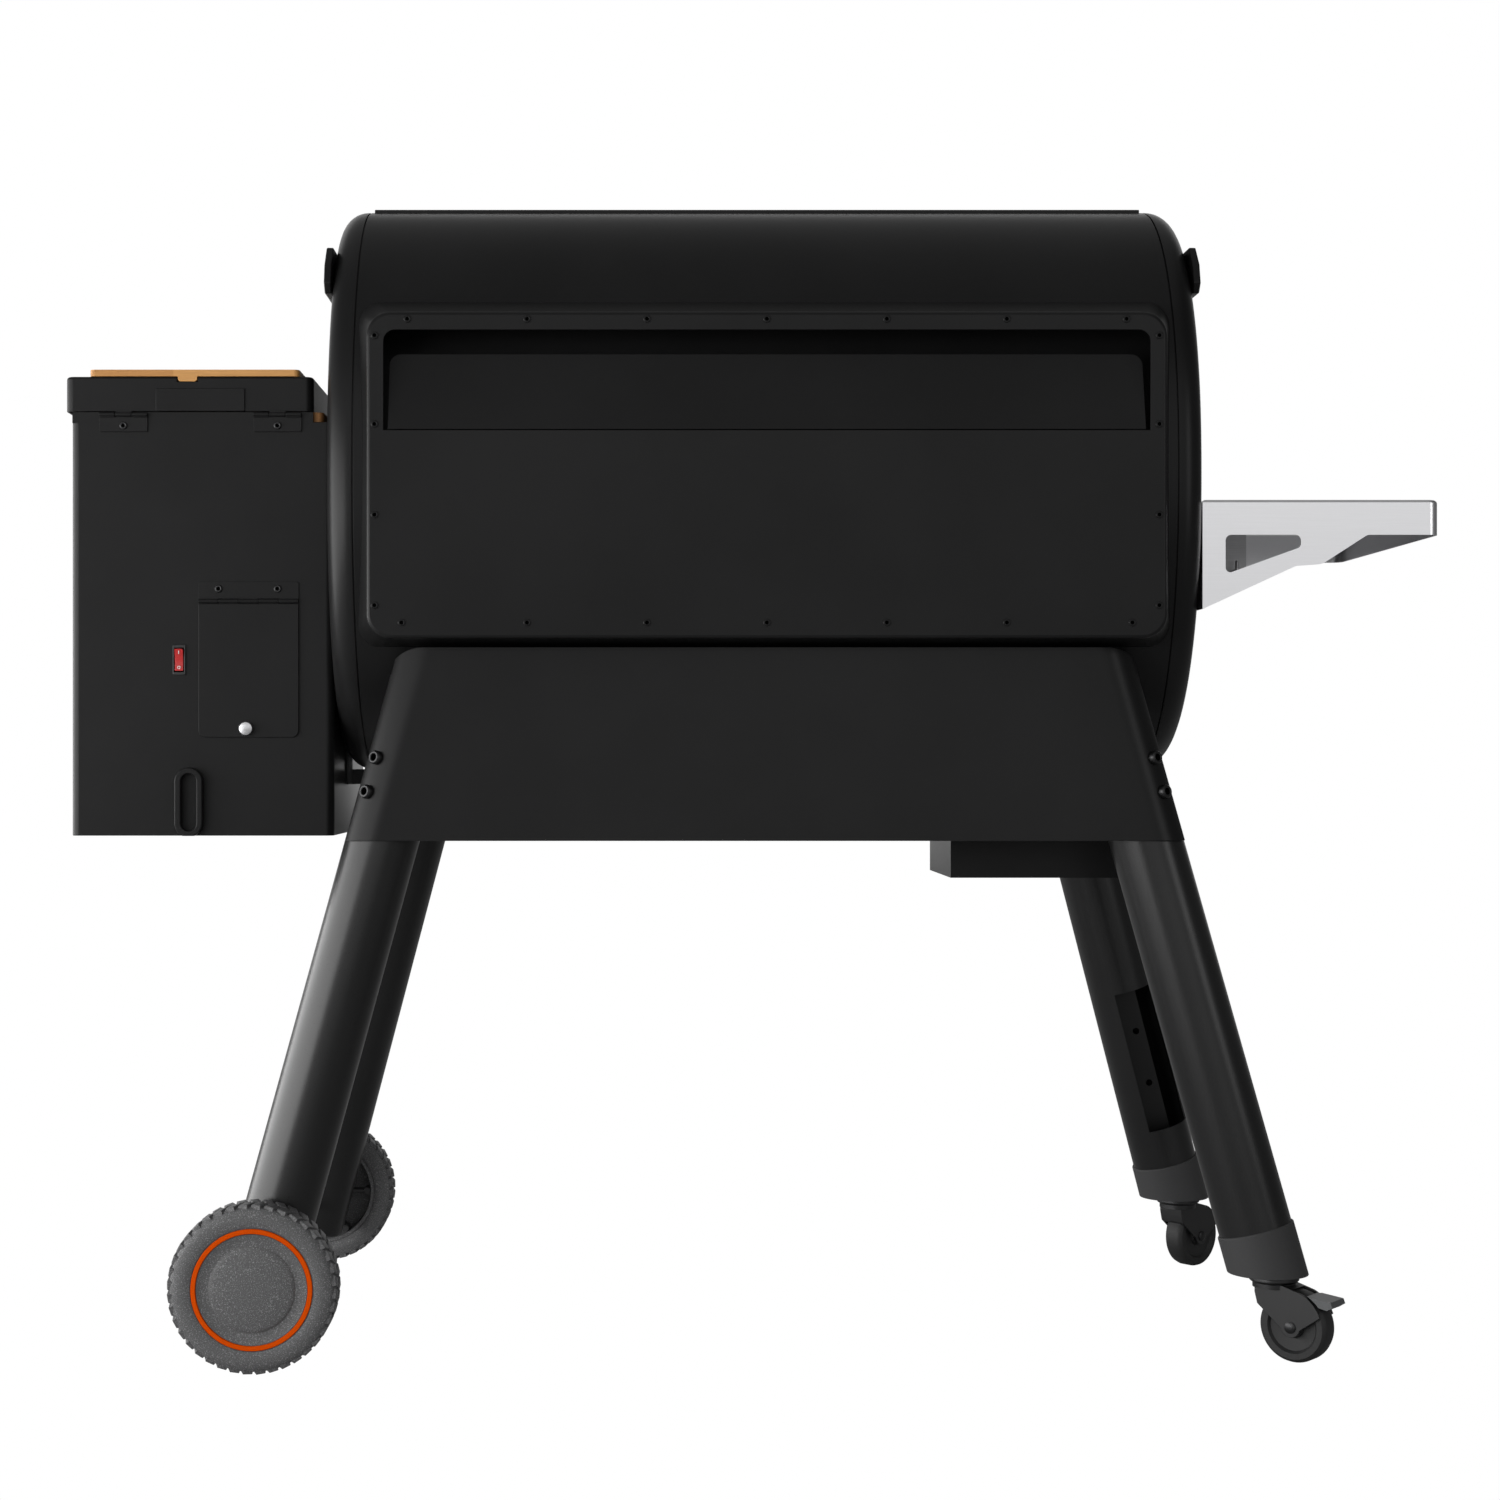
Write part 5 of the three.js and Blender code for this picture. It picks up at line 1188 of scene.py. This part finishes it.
SHELF_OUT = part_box("side_shelf")[0].x
SHELF_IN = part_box("side_shelf")[1].x
SHELF_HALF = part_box("side_shelf")[1].y
SHELF_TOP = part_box("side_shelf")[1].z


def corner_arc(points, corner, start, end, radius, steps=6):
    """Rounds one corner of an outline with an arc that touches both of its sides."""
    corner, start, end = Vector(corner), Vector(start), Vector(end)
    a, b = (start - corner).normalized(), (end - corner).normalized()
    half = a.angle(b) / 2
    reach = radius / math.tan(half)
    middle = corner + (a + b).normalized() * radius / math.sin(half)
    first, last = corner + a * reach, corner + b * reach
    for i in range(steps + 1):
        spot = first.lerp(last, i / steps)
        points.append(tuple(middle + (spot - middle).normalized() * radius))
    return points


def softened(outline, radii):
    """An outline with each corner rounded by its own radius."""
    points = []
    count = len(outline)
    for i, corner in enumerate(outline):
        corner_arc(points, corner, outline[i - 1], outline[(i + 1) % count], radii[i])
    return points


def build_shelf():
    """A stainless top with turned-down edges, a black frame and two side plates with a window."""
    corner = 12 * MM
    edge = 4 * MM

    def ring(grow, z):
        outline = []
        reach = corner - grow
        for centre_y, start in ((SHELF_HALF - corner, 90), (corner - SHELF_HALF, 180)):
            outline += arc(SHELF_OUT + corner, centre_y, reach, start, 90, 8)
        outline.append((SHELF_IN - grow, -SHELF_HALF + grow))
        outline.append((SHELF_IN - grow, SHELF_HALF - grow))
        return [Vector((x, y, z)) for x, y in outline]

    def tray(grow, low, top):
        rings = [ring(grow, low), ring(grow, top - edge + grow)]
        for step in range(1, 6):
            angle = math.radians(18 * step)
            turn = edge - grow
            rings.append(ring(grow + turn * (1 - math.cos(angle)),
                              top - edge + grow + turn * math.sin(angle)))
        return loft(rings)
    sheet = 1.5 * MM
    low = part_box("side_shelf")[0].z
    top = tray(0, low, SHELF_TOP)
    cut(top, tray(sheet, low - 0.01, SHELF_TOP - sheet * 2))
    rim = 864 * MM
    profile = softened(
        [(SHELF_IN + 0.01, SHELF_TOP + 0.01), (SHELF_IN + 0.01, low), (SHELF_IN, low), (wide(-566), 831 * MM),
         (wide(-594), 833 * MM), (wide(-642), rim), (SHELF_OUT - 0.01, rim),
         (SHELF_OUT - 0.01, SHELF_TOP + 0.01)],
        [MM, MM, MM, 14 * MM, 16 * MM, 10 * MM, MM, MM])
    keep(top, prism(profile, 1, -0.3, 0.3))
    window = softened([(wide(-571), 864 * MM), (wide(-491), 864 * MM), (wide(-491), 822 * MM),
                       (wide(-571), 851 * MM)],
                      [6 * MM, 6 * MM, 5 * MM, 5 * MM])
    cut(top, prism(window, 1, -0.3, 0.3))
    piece("shelf_top", top, STAINLESS, "frame", 0.4 * MM, replaces=["side_shelf"],
          steps=2)
    from_cad("shelf_rail", TUBE, "frame", 0.4 * MM, "shelf_frame")
    rail = block(wide(-600), wide(-500), -176 * MM, -173 * MM, 850 * MM, SHELF_TOP - 3.2 * MM)
    hooks = [rail]
    for x in (-585, -550, -515):
        hooks.append(bar(2 * MM, (wide(x), -174 * MM, 852 * MM), (wide(x), -157 * MM, 852 * MM), 20,
                         0.5 * MM))
        hooks.append(bar(2 * MM, (wide(x), -157 * MM, 850.4 * MM), (wide(x), -156 * MM, 864 * MM), 20,
                         0.8 * MM))
    piece("tool_hook_rail", join(*hooks), STEEL, "frame", 0.3 * MM, replaces=["tool_hooks"])
    bolts = []
    for face in (1, -1):
        for z in (884 * MM, 806 * MM):
            place = Vector((SHELF_IN - 9 * MM, face * (SHELF_HALF - 0.2 * MM), z))
            bolts.append((place - Y * face * 1.9 * MM, Y * face))
    heads("shelf_bolts", bolts, 3.6 * MM, 2 * MM, STEEL, "frame")


# ---------------------------------------------------------------- inside


def build_grate(level):
    """A wire grate: cross bars on long rails inside a round rod frame."""
    low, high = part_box(f"{level}_grate")
    body = f"grate_{level}"
    radius = 2.2 * MM
    z = high.z - radius
    bars = []
    spacing = 12.5 * MM
    count = int((high.x - low.x - 8 * MM) / spacing)
    start = (low.x + high.x - count * spacing) / 2
    for i in range(count + 1):
        x = start + i * spacing
        bars.append(bar(radius, (x, low.y + 3 * MM, z), (x, high.y - 3 * MM, z), 8))
    for y in (low.y + 3 * MM, (low.y + high.y) / 2, high.y - 3 * MM):
        bars.append(bar(3 * MM, (low.x, y, low.z + 3 * MM), (high.x, y, low.z + 3 * MM), 12))
    for x in (low.x + 3 * MM, high.x - 3 * MM):
        bars.append(bar(2.6 * MM, (x, low.y + 3 * MM, z), (x, high.y - 3 * MM, z), 12))
    piece(f"{level}_cooking_grate", join(*bars), GRATE, body, replaces=[f"{level}_grate"])


def build_inside():
    build_grate("lower")
    build_grate("upper")
    shown = [
        ("drip_tray", INSIDE, "drip", "bare_inner_steel", 0.4, "drip_tray_sheet"),
        ("heat_baffle", INSIDE, "frame", "bare_inner_steel", 0.4, "heat_baffle_plate"),
        ("fire_pot", INSIDE, "frame", "bare_inner_steel", 0, "fire_pot_cup"),
        ("auger_tube", INSIDE, "frame", "bare_inner_steel", 0, "auger_tube_pipe"),
        ("auger", STEEL, "auger_screw", "plain_steel", 0, "auger_flight"),
        ("auger_motor", DARK_STEEL, "frame", "plain_steel", 0.6, "auger_gear_motor"),
        ("fan_housing", PLASTIC, "frame", "black_plastic", 0.6, "fan_scroll"),
        ("fan_wheel", PLASTIC, "fan_rotor", "black_plastic", 0, "fan_blades"),
        ("temperature_probe", STAINLESS, "frame", "plain_steel", 0, "temperature_probe_rod"),
        ("grease_housing", BLACK, "frame", "black_powder_coat", 0.6, "grease_box"),
        ("grease_tray", STEEL, "grease_drawer", "plain_steel", 0.4, "grease_pan"),
    ]
    for node, look, body, slot, edge, name in shown:
        from_cad(node, look, body, edge * MM, name)


# ---------------------------------------------------------------- the object

build_barrel()
build_handle()
build_exhaust()
build_legs()
build_wheels()
build_casters()
build_hopper()
build_hopper_lid()
build_board()
build_cleanout()
build_switch()
build_controller()
build_shelf()
build_inside()

# ---------------------------------------------------------------- floor, lights and camera


def plane(name, centre, across, up, width, height):
    """A flat rectangle facing across x up."""
    centre, across, up = Vector(centre), Vector(across), Vector(up)
    signs = ((-1, -1), (1, -1), (1, 1), (-1, 1))
    corners = [centre + across * x * width / 2 + up * y * height / 2 for x, y in signs]
    data = bpy.data.meshes.new(name)
    data.from_pydata(corners, [], [(0, 1, 2, 3)])
    made = bpy.data.objects.new(name, data)
    scene.collection.objects.link(made)
    return made


def flat_look(name, color):
    """A matt neutral surface for the stage."""
    material = bpy.data.materials.new(name)
    material.use_nodes = True
    bsdf = material.node_tree.nodes["Principled BSDF"]
    bsdf.inputs["Base Color"].default_value = (color, color, color, 1)
    bsdf.inputs["Roughness"].default_value = 0.9
    bsdf.inputs["Specular IOR Level"].default_value = 0.1
    return material


def softbox(name, place, target, width, height, power):
    data = bpy.data.lights.new(name, "AREA")
    data.shape = "RECTANGLE"
    data.size, data.size_y = width, height
    data.energy = power
    lamp = bpy.data.objects.new(name, data)
    lamp.location = place
    lamp.rotation_euler = (Vector(target) - Vector(place)).to_track_quat("-Z", "Y").to_euler()
    scene.collection.objects.link(lamp)


FLOOR_SIZE = 30
FLOOR_GREY = 0.52
floor = plane("floor", (0, 0, -0.5 * MM), X, Y, FLOOR_SIZE, FLOOR_SIZE)
look = flat_look("floor_white", FLOOR_GREY)
shown = look.node_tree.nodes.new("ShaderNodeEmission")
choice = look.node_tree.nodes.new("ShaderNodeMixShader")
ray = look.node_tree.nodes.new("ShaderNodeLightPath")
surface = look.node_tree.nodes["Material Output"].inputs["Surface"]
look.node_tree.links.new(surface.links[0].from_socket, choice.inputs[1])
look.node_tree.links.new(shown.outputs["Emission"], choice.inputs[2])
look.node_tree.links.new(ray.outputs["Is Camera Ray"], choice.inputs["Fac"])
look.node_tree.links.new(choice.outputs["Shader"], surface)
floor.data.materials.append(look)
world = bpy.data.worlds.new("studio")
scene.world = world
world.use_nodes = True
studio = world.node_tree
backdrop = studio.nodes["Background"]
backdrop.inputs["Color"].default_value = (1, 1, 1, 1)
rays = studio.nodes.new("ShaderNodeLightPath")
place = studio.nodes.new("ShaderNodeTexCoord")
parts = studio.nodes.new("ShaderNodeSeparateXYZ")
studio.links.new(place.outputs["Generated"], parts.inputs["Vector"])


def fade(source, start, end, low, high):
    """A studio brightness that goes smoothly from low to high along one direction."""
    node = studio.nodes.new("ShaderNodeMapRange")
    node.interpolation_type = "SMOOTHSTEP"
    for socket, value in (("From Min", start), ("From Max", end), ("To Min", low), ("To Max", high)):
        node.inputs[socket].default_value = value
    studio.links.new(source, node.inputs["Value"])
    return node.outputs["Result"]


def blend(operation, first, second):
    node = studio.nodes.new("ShaderNodeMath")
    node.operation = operation
    studio.links.new(first, node.inputs[0])
    studio.links.new(second, node.inputs[1])
    return node.outputs["Value"]


overhead = fade(parts.outputs["Z"], 0.42, 0.62, 0.95, 0.3)
sideways = fade(parts.outputs["X"], 0.25, 0.8, 1.0, 0.3)
sideways = blend("MULTIPLY", sideways, fade(parts.outputs["X"], -0.25, -0.8, 1.0, 0.12))
seen = fade(rays.outputs["Is Camera Ray"], 0.0, 1.0, 0.0, 1.0)
studio.links.new(blend("MAXIMUM", blend("MULTIPLY", overhead, sideways), seen), backdrop.inputs["Strength"])
softbox("softbox_hopper_side", (3.0, 0.8, 0.75), (0.4, 0.3, 0.4), 6.4, 1.3, 150)
softbox("softbox_shelf_side", (-3.2, 2.6, 1.5), (-0.4, 0, 0.9), 1.0, 1.6, 12)

CAMERA_ACROSS = 133.8 * MM
CAMERA_BACK = 2.9
CAMERA_HEIGHT = 0.6235
camera_data = bpy.data.cameras.new("camera")
camera_data.sensor_width = 36
camera_data.lens = 61.13
camera_data.shift_x = 0.0747
camera_data.shift_y = 0.0073
camera = bpy.data.objects.new("camera", camera_data)
camera.location = (MID + CAMERA_ACROSS, CAMERA_BACK, CAMERA_HEIGHT)
camera.rotation_euler = (math.pi / 2, 0, math.pi)
scene.collection.objects.link(camera)
scene.camera = camera
scene.view_settings.view_transform = "Standard"
scene.view_settings.look = "None"
